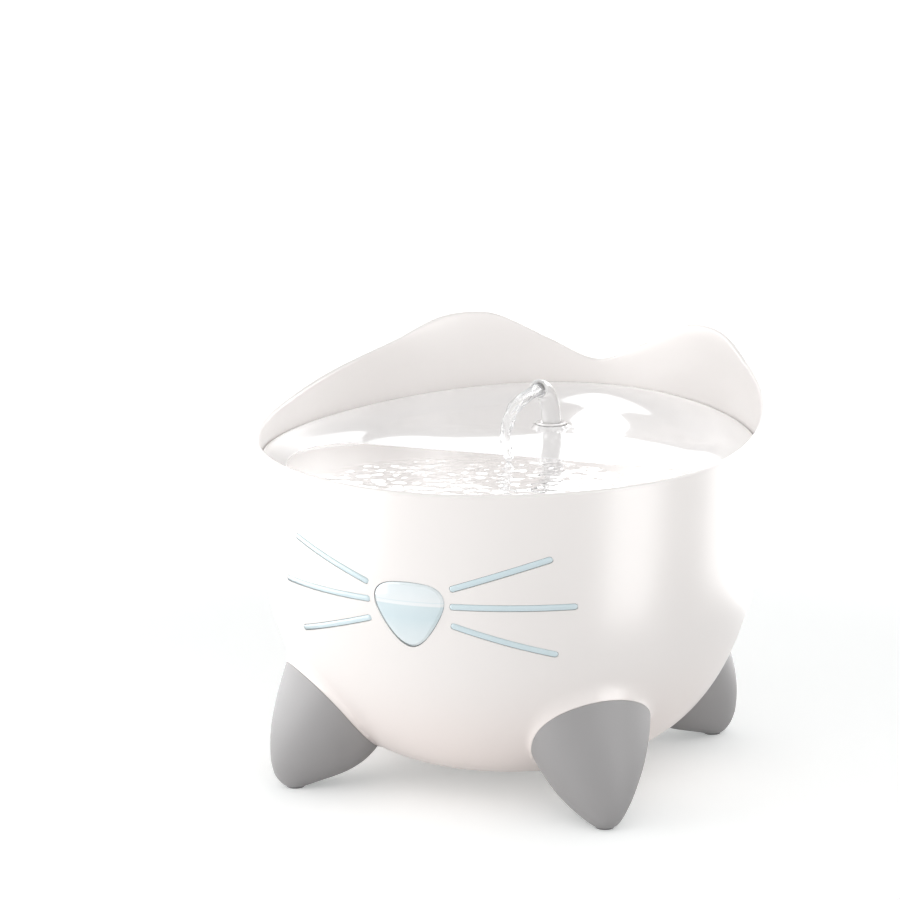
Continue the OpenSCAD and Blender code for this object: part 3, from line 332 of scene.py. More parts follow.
def boss_top(spout):
    """Height of the boss that the collar sits on"""
    return COLLAR_HIGH.z - spout.flange


# ---- Modelling ----

def leave_edit_mode():
    """Back to object mode with nothing selected"""
    if bpy.context.object and bpy.context.object.mode != "OBJECT":
        bpy.ops.object.mode_set(mode="OBJECT")
    bpy.ops.object.select_all(action="DESELECT")


def pick(piece):
    """Select one piece and make it active"""
    leave_edit_mode()
    piece.select_set(True)
    bpy.context.view_layer.objects.active = piece


def named(name):
    """Name the active object and its mesh"""
    piece = bpy.context.object
    piece.name = name
    piece.data.name = name
    return piece


def settle(piece):
    """Put a piece's place into its mesh"""
    pick(piece)
    bpy.ops.object.transform_apply(location=True, rotation=True, scale=True)
    return piece


@contextmanager
def editing(piece):
    """Edit mode for one piece, with all of it selected"""
    pick(piece)
    bpy.ops.object.mode_set(mode="EDIT")
    bpy.ops.mesh.select_all(action="SELECT")
    yield
    bpy.ops.object.mode_set(mode="OBJECT")


def extrude(step):
    """Extrude what is selected"""
    bpy.ops.mesh.extrude_region_move(TRANSFORM_OT_translate={"value": step})


def ring_from_face(width):
    """Turn the selected face into a flat ring of edges that goes inwards by a width"""
    bpy.ops.mesh.inset(thickness=width)
    bpy.ops.mesh.delete(type="ONLY_FACE")
    bpy.ops.mesh.select_all(action="SELECT")


def mended(piece, merge=1e-6):
    """Merge doubles and turn all faces outwards"""
    with editing(piece):
        bpy.ops.mesh.remove_doubles(threshold=merge)
        bpy.ops.mesh.normals_make_consistent(inside=False)
    return piece


def smoothed(piece, degrees=35):
    """Shade smooth, with sharp edges kept"""
    pick(piece)
    bpy.ops.object.shade_smooth_by_angle(angle=math.radians(degrees))
    return piece


def drawn(points):
    """Start a mesh as a line through points, left in edit mode"""
    leave_edit_mode()
    bpy.ops.mesh.primitive_plane_add(size=0.001, location=points[0])
    bpy.ops.object.mode_set(mode="EDIT")
    bpy.ops.mesh.merge(type="CENTER")
    for before, after in zip(points, points[1:]):
        extrude(tuple(b - a for a, b in zip(before, after)))


def turned(name, profile, sectors):
    """Solid of revolution about Z from (radius, height) points, made with Screw"""
    drawn([(r, 0, z) for r, z in profile])
    bpy.ops.object.mode_set(mode="OBJECT")
    piece = settle(named(name))
    screw = piece.modifiers.new("Turn", "SCREW")
    screw.steps = screw.render_steps = sectors
    screw.use_merge_vertices = True
    screw.merge_threshold = 1e-6
    bpy.ops.object.modifier_apply(modifier=screw.name)
    return mended(piece)


def formed(name, segments, rings, place):
    """Closed form from a UV sphere: place(ring, turn) gives each vertex, ring 0 and ring `rings` being poles"""
    leave_edit_mode()
    bpy.ops.mesh.primitive_uv_sphere_add(segments=segments, ring_count=rings, radius=1)
    piece = named(name)
    for vertex in piece.data.vertices:
        x, y, z = vertex.co
        ring = round(math.acos(max(-1, min(1, -z))) / math.pi * rings)
        vertex.co = place(ring, math.atan2(y, x))
    return mended(piece)


def moved(piece, change):
    """Give every vertex the place that change(xyz array) returns"""
    count = len(piece.data.vertices)
    places = np.empty(count * 3)
    piece.data.vertices.foreach_get("co", places)
    places = change(places.reshape(count, 3))
    piece.data.vertices.foreach_set("co", places.ravel())
    piece.data.update()
    return piece


def cut(piece, cutters):
    """Take the cutters out of a piece with one Boolean, then remove them"""
    holder = bpy.data.collections.new("cutters")
    bpy.context.scene.collection.children.link(holder)
    for cutter in cutters:
        for home in list(cutter.users_collection):
            home.objects.unlink(cutter)
        holder.objects.link(cutter)
    pick(piece)
    boolean = piece.modifiers.new("Cut", "BOOLEAN")
    boolean.operation = "DIFFERENCE"
    boolean.operand_type = "COLLECTION"
    boolean.collection = holder
    boolean.solver = "EXACT"
    bpy.ops.object.modifier_apply(modifier=boolean.name)
    for cutter in cutters:
        bpy.data.meshes.remove(cutter.data)
    bpy.data.collections.remove(holder)
    return piece


def joined(piece, extras):
    """Join extra meshes into a piece"""
    pick(piece)
    for extra in extras:
        extra.select_set(True)
    bpy.context.view_layer.objects.active = piece
    bpy.ops.object.join()
    return piece


def rod(name, radius, start, end, vertices=48):
    """Plain round rod between two points, used as a cutter or as the start of a boss"""
    leave_edit_mode()
    along = Vector(end) - Vector(start)
    middle = (Vector(start) + Vector(end)) / 2
    turn = along.to_track_quat("Z", "Y").to_euler()
    bpy.ops.mesh.primitive_cylinder_add(
        vertices=vertices, radius=radius, depth=along.length, location=middle, rotation=turn)
    return settle(named(name))


def bevel_ring(piece, chosen, offset, segments=3):
    """Bevel the edges whose both ends satisfy chosen(co)"""
    pick(piece)
    bpy.ops.object.mode_set(mode="EDIT")
    bpy.ops.mesh.select_all(action="DESELECT")
    bpy.ops.mesh.select_mode(type="EDGE")
    mesh = bmesh.from_edit_mesh(piece.data)
    for edge in mesh.edges:
        edge.select = all(chosen(vertex.co) for vertex in edge.verts)
    mesh.select_flush_mode()
    bmesh.update_edit_mesh(piece.data)
    bpy.ops.mesh.bevel(offset=offset, segments=segments, profile=0.5)
    bpy.ops.mesh.select_mode(type="VERT")
    bpy.ops.object.mode_set(mode="OBJECT")
    return piece


def placed(piece, body, slot, *nodes, finish=None):
    """Finish a piece, stand it for its CAD nodes and let it ride on its body"""
    piece.data.materials.clear()
    piece.data.materials.append(finish_for(finish or slot))
    if nodes:
        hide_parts(*nodes)
    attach(piece, body)
    return piece


# ---- Finishes ----

SMOOTH = "SMOOTHSTEP"


def feed(tree, value, target):
    """Link a socket, or a node's live output, to an input, or set a plain value on it"""
    if isinstance(value, bpy.types.Node):
        value = next(socket for socket in value.outputs if socket.enabled)
    if isinstance(value, bpy.types.NodeSocket):
        tree.links.new(value, target)
    else:
        target.default_value = value


def add(tree, kind, **values):
    """Add a node and feed its inputs, by name or as in0, in1 and on; a name that no input has is a property"""
    made = tree.nodes.new(kind)
    for name, value in values.items():
        label = int(name[2:]) if name[2:].isdigit() else name.replace("_", " ").title()
        if isinstance(label, int) or label in made.inputs:
            feed(tree, value, made.inputs[label])
        else:
            setattr(made, name, value)
    return made


def span(tree, value, low, high, curve="LINEAR", **ends):
    """Map a value between two limits to 0 and 1"""
    return add(tree, "ShaderNodeMapRange", interpolation_type=curve, value=value,
               from_min=low, from_max=high, **ends)


def maths(tree, operation, first, second):
    """Combine two values"""
    return add(tree, "ShaderNodeMath", operation=operation, in0=first, in1=second)


def mixed(tree, factor, first, second, blend_type="MIX"):
    """Mix two colours"""
    return add(tree, "ShaderNodeMix", data_type="RGBA", blend_type=blend_type,
               factor=factor, in6=first, in7=second)


def noise(tree, place, scale, **more):
    """Noise texture"""
    return add(tree, "ShaderNodeTexNoise", vector=place, scale=scale, **more)


def bumped(tree, height, depth):
    """Bump of a depth in metres"""
    return add(tree, "ShaderNodeBump", strength=1.0, distance=depth, height=height)


def turned_away(tree, start, end):
    """How far the surface turns away from the eye, between two limits"""
    return span(tree, add(tree, "ShaderNodeLayerWeight", blend=0.5).outputs["Facing"], start, end, SMOOTH)


def moulded_surface():
    """Shared group: faint tone and gloss drift of moulded plastic, with a fine grain for the bump"""
    tree = bpy.data.node_groups.get("Moulded surface")
    if tree:
        return tree
    tree = bpy.data.node_groups.new("Moulded surface", "ShaderNodeTree")
    inputs = (("Vector", "Vector", (0, 0, 0)), ("Tone A", "Color", (1, 1, 1, 1)),
              ("Tone B", "Color", (1, 1, 1, 1)), ("Drift Scale", "Float", 14.0),
              ("Gloss Low", "Float", 0.2), ("Gloss High", "Float", 0.3), ("Grain Scale", "Float", 900.0))
    for name, kind, default in inputs:
        tree.interface.new_socket(name, in_out="INPUT", socket_type="NodeSocket" + kind).default_value = default
    for name, kind in (("Color", "Color"), ("Roughness", "Float"), ("Height", "Float")):
        tree.interface.new_socket(name, in_out="OUTPUT", socket_type="NodeSocket" + kind)
    given = tree.nodes.new("NodeGroupInput").outputs
    drift = noise(tree, given["Vector"], given["Drift Scale"], detail=3.0, roughness=0.55)
    grain = noise(tree, given["Vector"], given["Grain Scale"], detail=2.0, roughness=0.5)
    gloss = span(tree, drift, 0, 1, to_min=given["Gloss Low"], to_max=given["Gloss High"])
    add(tree, "NodeGroupOutput", color=mixed(tree, drift, given["Tone A"], given["Tone B"]), roughness=gloss,
        height=grain)
    return tree


def new_finish(name):
    """A material, its tree, its shader and its object coordinates"""
    material = bpy.data.materials.new(name + "_finish")
    material.use_nodes = True
    tree = material.node_tree
    return material, tree, tree.nodes["Principled BSDF"], tree.nodes.new("ShaderNodeTexCoord").outputs["Object"]


def dress(tree, shader, **values):
    """Feed the shader's inputs"""
    for name, value in values.items():
        feed(tree, value, shader.inputs[name.replace("_", " ").title().replace("Ior", "IOR")])


def moulded(name, tone, shift=0.02, gloss=(0.2, 0.3), grain=900.0, depth=0.00002, drift=14.0, **plain):
    """A moulded plastic or rubber: tone, its drift, its gloss and its grain"""
    material, tree, shader, place = new_finish(name)
    low, high = [(*[min(1, c * k) for c in tone], 1) for k in (1 - shift, 1 + shift)]
    surface = add(tree, "ShaderNodeGroup", node_tree=moulded_surface(), vector=place, tone_a=low, tone_b=high,
                  drift_scale=drift, gloss_low=gloss[0], gloss_high=gloss[1], grain_scale=grain)
    dress(tree, shader, base_color=surface.outputs["Color"], roughness=surface.outputs["Roughness"],
          normal=bumped(tree, surface.outputs["Height"], depth), **plain)
    return material


def patterned(name, low, high, kind, values, output, gloss, depth, stretch=(1, 1, 1), metallic=0.0):
    """A finish whose tone and bump follow one texture node"""
    material, tree, shader, place = new_finish(name)
    stretched = add(tree, "ShaderNodeMapping", vector=place, scale=stretch)
    pattern = add(tree, kind, vector=stretched, **values).outputs[output]
    dress(tree, shader, base_color=mixed(tree, pattern, (*low, 1), (*high, 1)), roughness=gloss,
          metallic=metallic, normal=bumped(tree, pattern, depth))
    return material


def blend_by_height(material, socket, start, end, value):
    """Blend what feeds a socket towards a colour or number between two heights"""
    tree = material.node_tree
    target = tree.nodes["Principled BSDF"].inputs[socket]
    spot = add(tree, "ShaderNodeSeparateXYZ", vector=tree.nodes["Texture Coordinate"].outputs["Object"])
    share = span(tree, spot.outputs["Z"], start, end, SMOOTH)
    source = target.links[0].from_socket
    if socket == "Base Color":
        feed(tree, mixed(tree, share, source, (*value, 1)), target)
    else:
        feed(tree, add(tree, "ShaderNodeMix", data_type="FLOAT", factor=share, in2=source, in3=value), target)
    return share


def shell_finish(settings):
    """White gloss of the bowl, with painted shade towards its underside, a little darker and warmer there"""
    made = moulded("shell_white", settings.shell, shift=0.006, gloss=(0.28, 0.32), grain=260.0, depth=0.000008)
    # Painted shade: the tone turns darker and warmer towards the underside
    painted_underside_shade = tuple(c * k for c, k in zip(settings.shell, (0.985, 0.935, 0.915)))
    blend_by_height(made, "Base Color", 0.085, 0.020, painted_underside_shade)
    return made


def tray_finish(settings):
    """White gloss of the tray and its collar, mirror-bright above the water, with painted light below the water
    line
    """
    made = moulded("tray_white", settings.tray, shift=0.006, gloss=(0.10, 0.14), grain=320.0, depth=0.000004,
                   coat_roughness=0.02)
    # Painted light: below the water line the dish's colour is painted paler, lifting its shade under the water
    blend_by_height(made, "Base Color", 0.1484, 0.1476, (0.985, 0.98, 0.978))
    wet = blend_by_height(made, "Roughness", 0.1484, 0.1476, 0.5)
    tree = made.node_tree
    dress(tree, tree.nodes["Principled BSDF"], coat_weight=span(tree, wet, 1.0, 0.0))
    return made


def foot_finish(settings):
    """Grey satin of the feet"""
    return moulded("foot_grey", settings.foot, shift=0.03, gloss=(0.50, 0.60), grain=1500.0, depth=0.00003,
                   specular_ior_level=0.30)


# Painted reflection bands up the nose window: position, share of white
PAINTED_SHEEN_LEVELS = ((0.02, 0.45), (0.25, 0.28), (0.45, 0.04), (0.64, 0.12), (0.65, 0.78), (0.693, 0.72),
                 (0.70, 0.30), (0.715, 0.66), (0.88, 0.50), (0.98, 0.42))


def window_finish(settings):
    """Pale blue see-through plastic: a painted reflection makes it paler above a level line, and painted shade
    makes it dark where its edge turns away
    """
    material, tree, shader, place = new_finish("window_blue")
    deep = tuple(settings.window)
    spot = add(tree, "ShaderNodeSeparateXYZ", vector=place).outputs
    # Painted reflection: white bands by height stand in for the lights mirrored in the dome
    painted_sheen = add(tree, "ShaderNodeValToRGB", fac=span(tree, spot["Z"], 0.087, 0.117))
    ramp = painted_sheen.color_ramp
    for position, share in PAINTED_SHEEN_LEVELS:
        ramp.elements.new(position).color = (*[c + (1 - c) * share for c in deep], 1)
    ramp.elements.remove(ramp.elements[0])
    ramp.elements.remove(ramp.elements[-1])
    bars = span(tree, add(tree, "ShaderNodeMath", operation="ABSOLUTE", in0=spot["X"]), 0.0165, 0.0175)
    drift = noise(tree, place, 160.0, detail=2.0)
    # Real tone drift from the noise, multiplied over the painted reflection bands
    drift_and_painted_sheen = mixed(tree, drift, mixed(tree, bars, painted_sheen, (*deep, 1)), (0.95, 0.965, 0.97, 1), "MULTIPLY")
    # Painted shade: the window's edge is darkened where it turns away from the eye
    edge = mixed(tree, turned_away(tree, 0.45, 0.75), drift_and_painted_sheen, (0.12, 0.15, 0.16, 1))
    dress(tree, shader, base_color=edge, normal=bumped(tree, drift, 0.00001), roughness=0.07,
          specular_ior_level=0.3, coat_weight=0.15, coat_roughness=0.03)
    return material


def let_light_through(tree, shader, share=1.0):
    """Make a finish clear, and let shadow rays pass it"""
    shadow = tree.nodes.new("ShaderNodeLightPath").outputs["Is Shadow Ray"]
    clear = tree.nodes.new("ShaderNodeBsdfTransparent")
    choice = add(tree, "ShaderNodeMixShader", fac=shadow, in1=shader, in2=clear)
    feed(tree, choice, tree.nodes["Material Output"].inputs["Surface"])
    dress(tree, shader, roughness=0.02, ior=1.22, transmission_weight=share)


# Part of the pool that the falling stream ruffles: its middle (x, y) and its reach
RIPPLE_CENTRE = (0.008, -0.068)
RIPPLE_REACH = 0.081


def water_finish(settings):
    """Clear water whose ripples show as pale patches with white lines between them; the tint in the ripples is
    painted shade
    """
    material, tree, shader, place = new_finish("clear_water")
    warp = noise(tree, place, 70.0, detail=2.0, roughness=0.5).outputs["Color"]
    bend = add(tree, "ShaderNodeMix", data_type="VECTOR", factor=0.03, in4=place, in5=warp)
    waves = noise(tree, bend, 62.0, detail=2.0, roughness=0.45, distortion=1.4)
    folds = maths(tree, "PINGPONG", maths(tree, "MULTIPLY", waves, 7.0), 0.5)
    lines = span(tree, folds, 0.08, 0.30, SMOOTH)
    some = span(tree, noise(tree, bend, 30.0, detail=1.0), 0.40, 0.62)
    away = add(tree, "ShaderNodeVectorMath", operation="DISTANCE", in0=place, in1=(*RIPPLE_CENTRE, 0.148))
    rough_part = span(tree, away, RIPPLE_REACH, RIPPLE_REACH - 0.008, SMOOTH)
    inside = maths(tree, "MULTIPLY", maths(tree, "MULTIPLY", lines, some), rough_part)
    # Painted shade: the ripple mask paints the water's tint where the surface ripples
    dress(tree, shader, base_color=mixed(tree, inside, (1, 1, 1, 1), (*settings.water, 1)),
          normal=bumped(tree, inside, 0.00003))
    let_light_through(tree, shader)
    return material


def stream_finish(settings):
    """Clear falling water, with painted grey shade where its skin turns away from the eye"""
    material, tree, shader, place = new_finish("clear_stream")
    swirl = noise(tree, place, 240.0, detail=2.0, distortion=0.6)
    # Painted shade: the skin turns grey where it faces away, standing in for the stream's dark edges
    tone = mixed(tree, turned_away(tree, 0.45, 0.85), (0.97, 0.97, 0.97, 1), (0.42, 0.43, 0.45, 1))
    dress(tree, shader, base_color=tone, normal=bumped(tree, swirl, 0.00015))
    let_light_through(tree, shader, 0.78)
    return material


# Moulded finishes: tone, then what differs from a plain moulding
PLASTICS = {
    "spout_frosted": ((0.93, 0.92, 0.915), dict(gloss=(0.16, 0.24), grain=420.0, transmission_weight=0.18,
                                                coat_weight=0.4, coat_roughness=0.08)),
    "pad_rubber": ((0.20, 0.197, 0.20), dict(gloss=(0.55, 0.7), grain=1400.0, depth=0.00005)),
    "inner_white": ((0.82, 0.82, 0.815), dict(gloss=(0.28, 0.36), grain=700.0)),
    "clear_plastic": ((0.74, 0.745, 0.75), dict(gloss=(0.18, 0.26), grain=500.0, coat_weight=0.4)),
    "lead_white": ((0.76, 0.76, 0.75), dict(gloss=(0.38, 0.46), grain=1200.0)),
    "inlet_black": ((0.03, 0.03, 0.032), dict(gloss=(0.45, 0.55), grain=1500.0, depth=0.00003,
                                              specular_ior_level=0.25)),
    "pump_grey": ((0.09, 0.09, 0.10), dict(gloss=(0.38, 0.5), grain=1100.0, depth=0.00004)),
    "magnet_black": ((0.05, 0.05, 0.055), dict(shift=0.12, gloss=(0.42, 0.55), grain=2200.0)),
    "bush_black": ((0.05, 0.05, 0.05), dict(gloss=(0.5, 0.6), grain=1500.0)),
    "ceramic_shaft": ((0.82, 0.80, 0.75), dict(gloss=(0.08, 0.14), grain=900.0, depth=0.00001)),
    "led_lens": ((0.92, 0.88, 0.55), dict(gloss=(0.08, 0.12), grain=900.0, coat_weight=0.5))}

# Turned steel, solder mask over tracks, open foam, matted fibre and copper winding:
# low and high tone, texture, its values and output, roughness, bump depth
PATTERNS = {
    "screw_steel": ((0.50, 0.50, 0.51), (0.68, 0.68, 0.69), "ShaderNodeTexNoise", dict(scale=900.0, detail=2.0),
                    "Fac", 0.28, 0.00001, (1, 1, 8), 1.0),
    "board_green": ((0.015, 0.13, 0.05), (0.03, 0.24, 0.10), "ShaderNodeTexBrick", dict(scale=320.0),
                    "Fac", 0.3, 0.00003),
    "foam_grey": ((0.03, 0.035, 0.04), (0.20, 0.21, 0.23), "ShaderNodeTexVoronoi", dict(scale=900.0),
                  "Distance", 0.95, 0.0006),
    "cartridge_fibre": ((0.62, 0.61, 0.57), (0.88, 0.87, 0.83), "ShaderNodeTexNoise",
                        dict(scale=1300.0, detail=5.0, distortion=1.2), "Fac", 0.95, 0.0004),
    "copper_coil": ((0.30, 0.11, 0.04), (0.72, 0.34, 0.16), "ShaderNodeTexWave",
                    dict(bands_direction="Y", scale=260.0, distortion=0.4), "Fac", 0.3, 0.0002, (1, 1, 1), 0.6)}

SPECIAL = {"shell_white": shell_finish, "tray_white": tray_finish, "foot_grey": foot_finish,
           "window_blue": window_finish, "clear_water": water_finish, "clear_stream": stream_finish}


def finish_for(name):
    """The finish of a name, made when it is first asked for"""
    known = bpy.data.materials.get(name + "_finish")
    if known:
        return known
    if name in PLASTICS:
        tone, values = PLASTICS[name]
        return moulded(name, tone, **values)
    if name in PATTERNS:
        return patterned(name, *PATTERNS[name])
    return SPECIAL[name](bpy.context.scene.fountain_finish)


# ---- Bowl ----

# Heights where the wall turns upright and where it ends before follow_rim stretches it, and its lip's radius
RIM_START = 0.148
RIM_NOMINAL = 0.168
LIP = 0.0016
# Height below which the wall's rings lie close, for the shoulders; the shoulders end below SHOULDER_END,
# and within SHOULDER_REACH degrees of a foot
FINE_END = 0.075
SHOULDER_END, SHOULDER_REACH = 0.085, 30

# The inlet's opening: radii of its boss, its bore and the seat of its flange, depths of boss and seat in from
# the inlet's outer face, and a distance clear behind the bowl
INLET_BOSS, INLET_BORE, INLET_SEAT = 0.011, 0.0062, 0.0091
INLET_BOSS_DEPTH, INLET_SEAT_DEPTH = 0.0093, 0.0021
BEHIND = 0.14


def bowl_profile(bowl):
    """Closed outline of the bowl's wall, up the outside, over the lip and down the inside"""
    low = [bowl.base + (FINE_END - bowl.base) * i / 48 for i in range(49)]
    middle = [FINE_END + (RIM_START - FINE_END) * i / 28 for i in range(1, 29)]
    high = [RIM_START + (RIM_NOMINAL - LIP - RIM_START) * i / 10 for i in range(1, 11)]
    outside = [(0, bowl.base)] + [(float(outer_radius(bowl, z)), z) for z in low + middle + high]
    centre = bowl.radius - bowl.wall / 2
    lip = [(centre + bowl.wall / 2 * math.cos(t), RIM_NOMINAL - LIP + LIP * math.sin(t))
           for t in [math.pi * i / 10 for i in range(1, 10)]]
    inner = bowl.radius - bowl.wall
    down = [(inner, z) for z in reversed(high)] + [(inner, RIM_START)]
    lip_in, ledge_low = inner - bowl.ledge_depth, bowl.ledge - 0.0025
    ledge = [(inner, bowl.ledge), (lip_in, bowl.ledge), (lip_in, ledge_low),
             (inner, ledge_low - bowl.ledge_depth)]
    floor, start = bowl.base + bowl.wall, bowl.ledge - 0.008
    lower = [start - (start - floor) * (i / 30)**0.8 for i in range(1, 31)]
    inside = [(float(inner_radius(bowl, z)), z) for z in lower] + [(0, floor)]
    return outside + lip + down + ledge + inside


def follow_rim(bowl, places):
    """Stretch the upright top of the wall so that it ends on the rim's curve"""
    x, y, z = places.T
    top = rim_height(bowl, from_face(x, y))
    straight = RIM_START + (z - RIM_START) * (top - LIP - RIM_START) / (RIM_NOMINAL - LIP - RIM_START)
    lip = top - (RIM_NOMINAL - z)
    places[:, 2] = np.where(z > RIM_NOMINAL - LIP - 1e-6, lip, np.where(z > RIM_START, straight, z))
    return places


def foot_turns(foot):
    """Direction of each foot from the axis, in radians"""
    return {
        "front_left": -foot.front_angle - math.pi / 2, "front_right": foot.front_angle - math.pi / 2,
        "rear_left": -foot.rear_angle - math.pi / 2, "rear_right": foot.rear_angle - math.pi / 2}


def swell_shoulders(bowl, foot, places):
    """Push the outer face out to a smooth blend with the feet, a little past their joints"""
    x, y, z = places.T
    r = np.hypot(x, y)
    wall = outer_radius(bowl, z)
    outer = (z < SHOULDER_END) & (r > wall - 0.0005) & (z > bowl.base - 1e-5) & (r > 0.05)
    turn = np.arctan2(y, x)
    past, steps = 0.0025, 40
    foot_top = FOOT_SLICES[-1][0]
    for centre in foot_turns(foot).values():
        away = (turn - centre + math.pi) % (2 * math.pi) - math.pi
        near = outer & (np.abs(away) < math.radians(SHOULDER_REACH))
        height, angle_off, start = z[near], away[near], wall[near]
        limit = shoulder_at(bowl, height) + past
        blend = 1.3 * shoulder_at(bowl, height)
        best = np.zeros_like(height)
        open_rays = np.ones_like(height, bool)
        for i in range(1, steps + 1):
            out = limit * i / steps
            from_foot = foot_distance(foot, start + out, angle_off, np.minimum(height, foot_top))
            from_foot = from_foot + np.maximum(0, height - foot_top) * 1.2
            mix = np.maximum(blend - np.abs(out - from_foot), 0) / blend
            union = np.minimum(out, from_foot) - mix * mix * blend / 4
            open_rays &= union < 0
            best = np.where(open_rays, out, best)
        radius = start + best
        places[near, 0] = radius * np.cos(turn[near])
        places[near, 1] = radius * np.sin(turn[near])
    return places


def parting_cutter(bowl):
    """Ring that takes off all that stands out past the surface between feet and shoulders"""
    heights = [bowl.base - 0.001 + (0.078 - bowl.base) * i / 40 for i in range(41)]
    face = [(float(outer_radius(bowl, max(z, bowl.base)) + shoulder_at(bowl, z)), z) for z in heights]
    reach = bowl.radius + 0.02
    outline = face + [(reach, heights[-1]), (reach, heights[0]), face[0]]
    return turned("parting_cutter", outline, 240)


def nose_outline(face, turn, grow=0.0):
    """Point (x, z) on the nose's outline"""
    from_tip = (turn + math.pi / 2 + math.pi) % (2 * math.pi) - math.pi
    wave = 1 + 0.13 * math.cos(3 * from_tip) + 0.015 * math.cos(6 * from_tip)
    r = face.nose_radius * (wave + 0.035 * math.exp(-(from_tip / 0.22)**2)) + grow
    return r * math.cos(turn), 0.93 * r * math.sin(turn)


def nose_cutter(bowl, face):
    """Prism through the wall along the nose's outline"""
    wall_y = -float(outer_radius(bowl, face.nose_height))
    leave_edit_mode()
    bpy.ops.mesh.primitive_cylinder_add(vertices=96, radius=1, depth=2)
    piece = named("nose_cutter")
    for vertex in piece.data.vertices:
        side = vertex.co.z
        x, z = nose_outline(face, math.atan2(vertex.co.y, vertex.co.x), face.gap)
        vertex.co = (x, wall_y - 0.012 * side, face.nose_height + z)
    return mended(piece)


def bar_form(name, bowl, face, ends, side, half_width, low, high, squareness, rings=44):
    """Bar that follows the wall between two points: its section runs from depth low to high"""
    (x0, z0), (x1, z1) = ends
    start = Vector((side * x0, face.nose_height + z0))
    end = Vector((side * x1, face.nose_height + z1))
    along = (end - start).normalized()
    across = Vector((-along.y, along.x))
    tip = 8
    power = 2 / squareness

    def place(ring, turn):
        if ring <= tip:
            t = math.pi / 2 * ring / tip
            centre, swell = start - along * half_width * math.cos(t), math.sin(t)
        elif ring >= rings - tip:
            t = math.pi / 2 * (rings - ring) / tip
            centre, swell = end + along * half_width * math.cos(t), math.sin(t)
        else:
            centre, swell = start.lerp(end, (ring - tip) / (rings - 2 * tip)), 1
        c, s = math.cos(turn), math.sin(turn)
        wide = math.copysign(abs(c)**power, c) * half_width * swell
        deep = (low + high) / 2 + math.copysign(abs(s)**power, s) * (high - low) / 2 * max(swell, 0.02)
        spot = centre + across * wide
        return on_wall(bowl, spot.x, spot.y, deep)

    return formed(name, 32, rings, place)


def on_wall(bowl, x, z, out):
    """Point at a distance out of the bowl's outer face, at the front"""
    r = float(outer_radius(bowl, z))
    slope = float(outer_radius(bowl, z + 0.0005) - outer_radius(bowl, z - 0.0005)) / 0.001
    y = -math.sqrt(r * r - x * x)
    normal = Vector((x, y, -r * slope)).normalized()
    return Vector((x, y, z)) + normal * out


# Wall of the light's compartment, radius of its screw bosses and how far they stand in from its edge
POD_WALL, POD_BOSS_RADIUS, POD_BOSS_INSET = 0.0024, 0.0032, 0.0046


def light_pod(bowl):
    """Frame and screw bosses of the light's compartment, inside the front wall"""
    low, high = GASKET_LOW, GASKET_HIGH
    rim_y = low.y
    back_y = -float(inner_radius(bowl, low.z)) - 0.001
    leave_edit_mode()
    bpy.ops.mesh.primitive_plane_add(size=1, location=((low.x + high.x) / 2, rim_y, (low.z + high.z) / 2),
                                     rotation=(math.pi / 2, 0, 0))
    bpy.ops.transform.resize(value=(high.x - low.x, 1, high.z - low.z))
    piece = settle(named("light_pod"))
    with editing(piece):
        ring_from_face(POD_WALL)
        extrude((0, back_y - rim_y, 0))
    inset = POD_BOSS_INSET
    bosses = [rod("pod_boss", POD_BOSS_RADIUS, (x, rim_y, z), (x, back_y, z), 24)
              for x in (low.x + inset, high.x - inset) for z in (low.z + inset, high.z - inset)]
    return joined(mended(piece), bosses)


def keep_inside(bowl, piece, margin=0.0006):
    """Pull what would reach through the wall back inside it"""
    def change(places):
        x, y, z = places.T
        r = np.hypot(x, y)
        limit = inner_radius(bowl, z) + margin
        k = np.where(r > limit, limit / np.maximum(r, 1e-9), 1)
        places[:, 0] *= k
        places[:, 1] *= k
        return places
    return moved(piece, change)


class FOUNTAIN_OT_bowl(bpy.types.Operator):
    """Model the bowl with its eared rim, shoulders, openings and inner forms"""
    bl_idname = "fountain.bowl"
    bl_label = "Bowl"

    def execute(self, context):
        scene = context.scene
        bowl, foot, face = scene.fountain_bowl, scene.fountain_foot, scene.fountain_face
        piece = turned("bowl", bowl_profile(bowl), bowl.sectors)
        moved(piece, lambda places: follow_rim(bowl, places))
        moved(piece, lambda places: swell_shoulders(bowl, foot, places))
        inlet_z = (INLET_LOW.z + INLET_HIGH.z) / 2
        boss_y = INLET_HIGH.y - INLET_BOSS_DEPTH

        def inlet_rod(name, radius, start, end=BEHIND):
            return rod(name, radius, (0, start, inlet_z), (0, end, inlet_z))

        boss = inlet_rod("inlet_boss", INLET_BOSS, boss_y, INLET_HIGH.y - 0.0015)
        cutters = [parting_cutter(bowl), nose_cutter(bowl, face),
                   inlet_rod("inlet_cutter", INLET_BORE, boss_y - 0.01),
                   inlet_rod("flange_cutter", INLET_SEAT, INLET_HIGH.y - INLET_SEAT_DEPTH)]
        for side in (-1, 1):
            for ends in WHISKERS.values():
                cutters.append(bar_form("groove_cutter", bowl, face, ends, side,
                                        face.bar_width / 2 + face.gap, -face.bar_depth - 0.0001, 0.004, 8))
        cut(piece, cutters)
        cut(boss, [inlet_rod("inlet_cutter", INLET_BORE, boss_y - 0.01)])
        joined(piece, [boss, keep_inside(bowl, light_pod(bowl))])
        smoothed(piece, 32)
        placed(piece, "base", "shell_white", "body_shell")
        return {"FINISHED"}


# ---- Feet ----

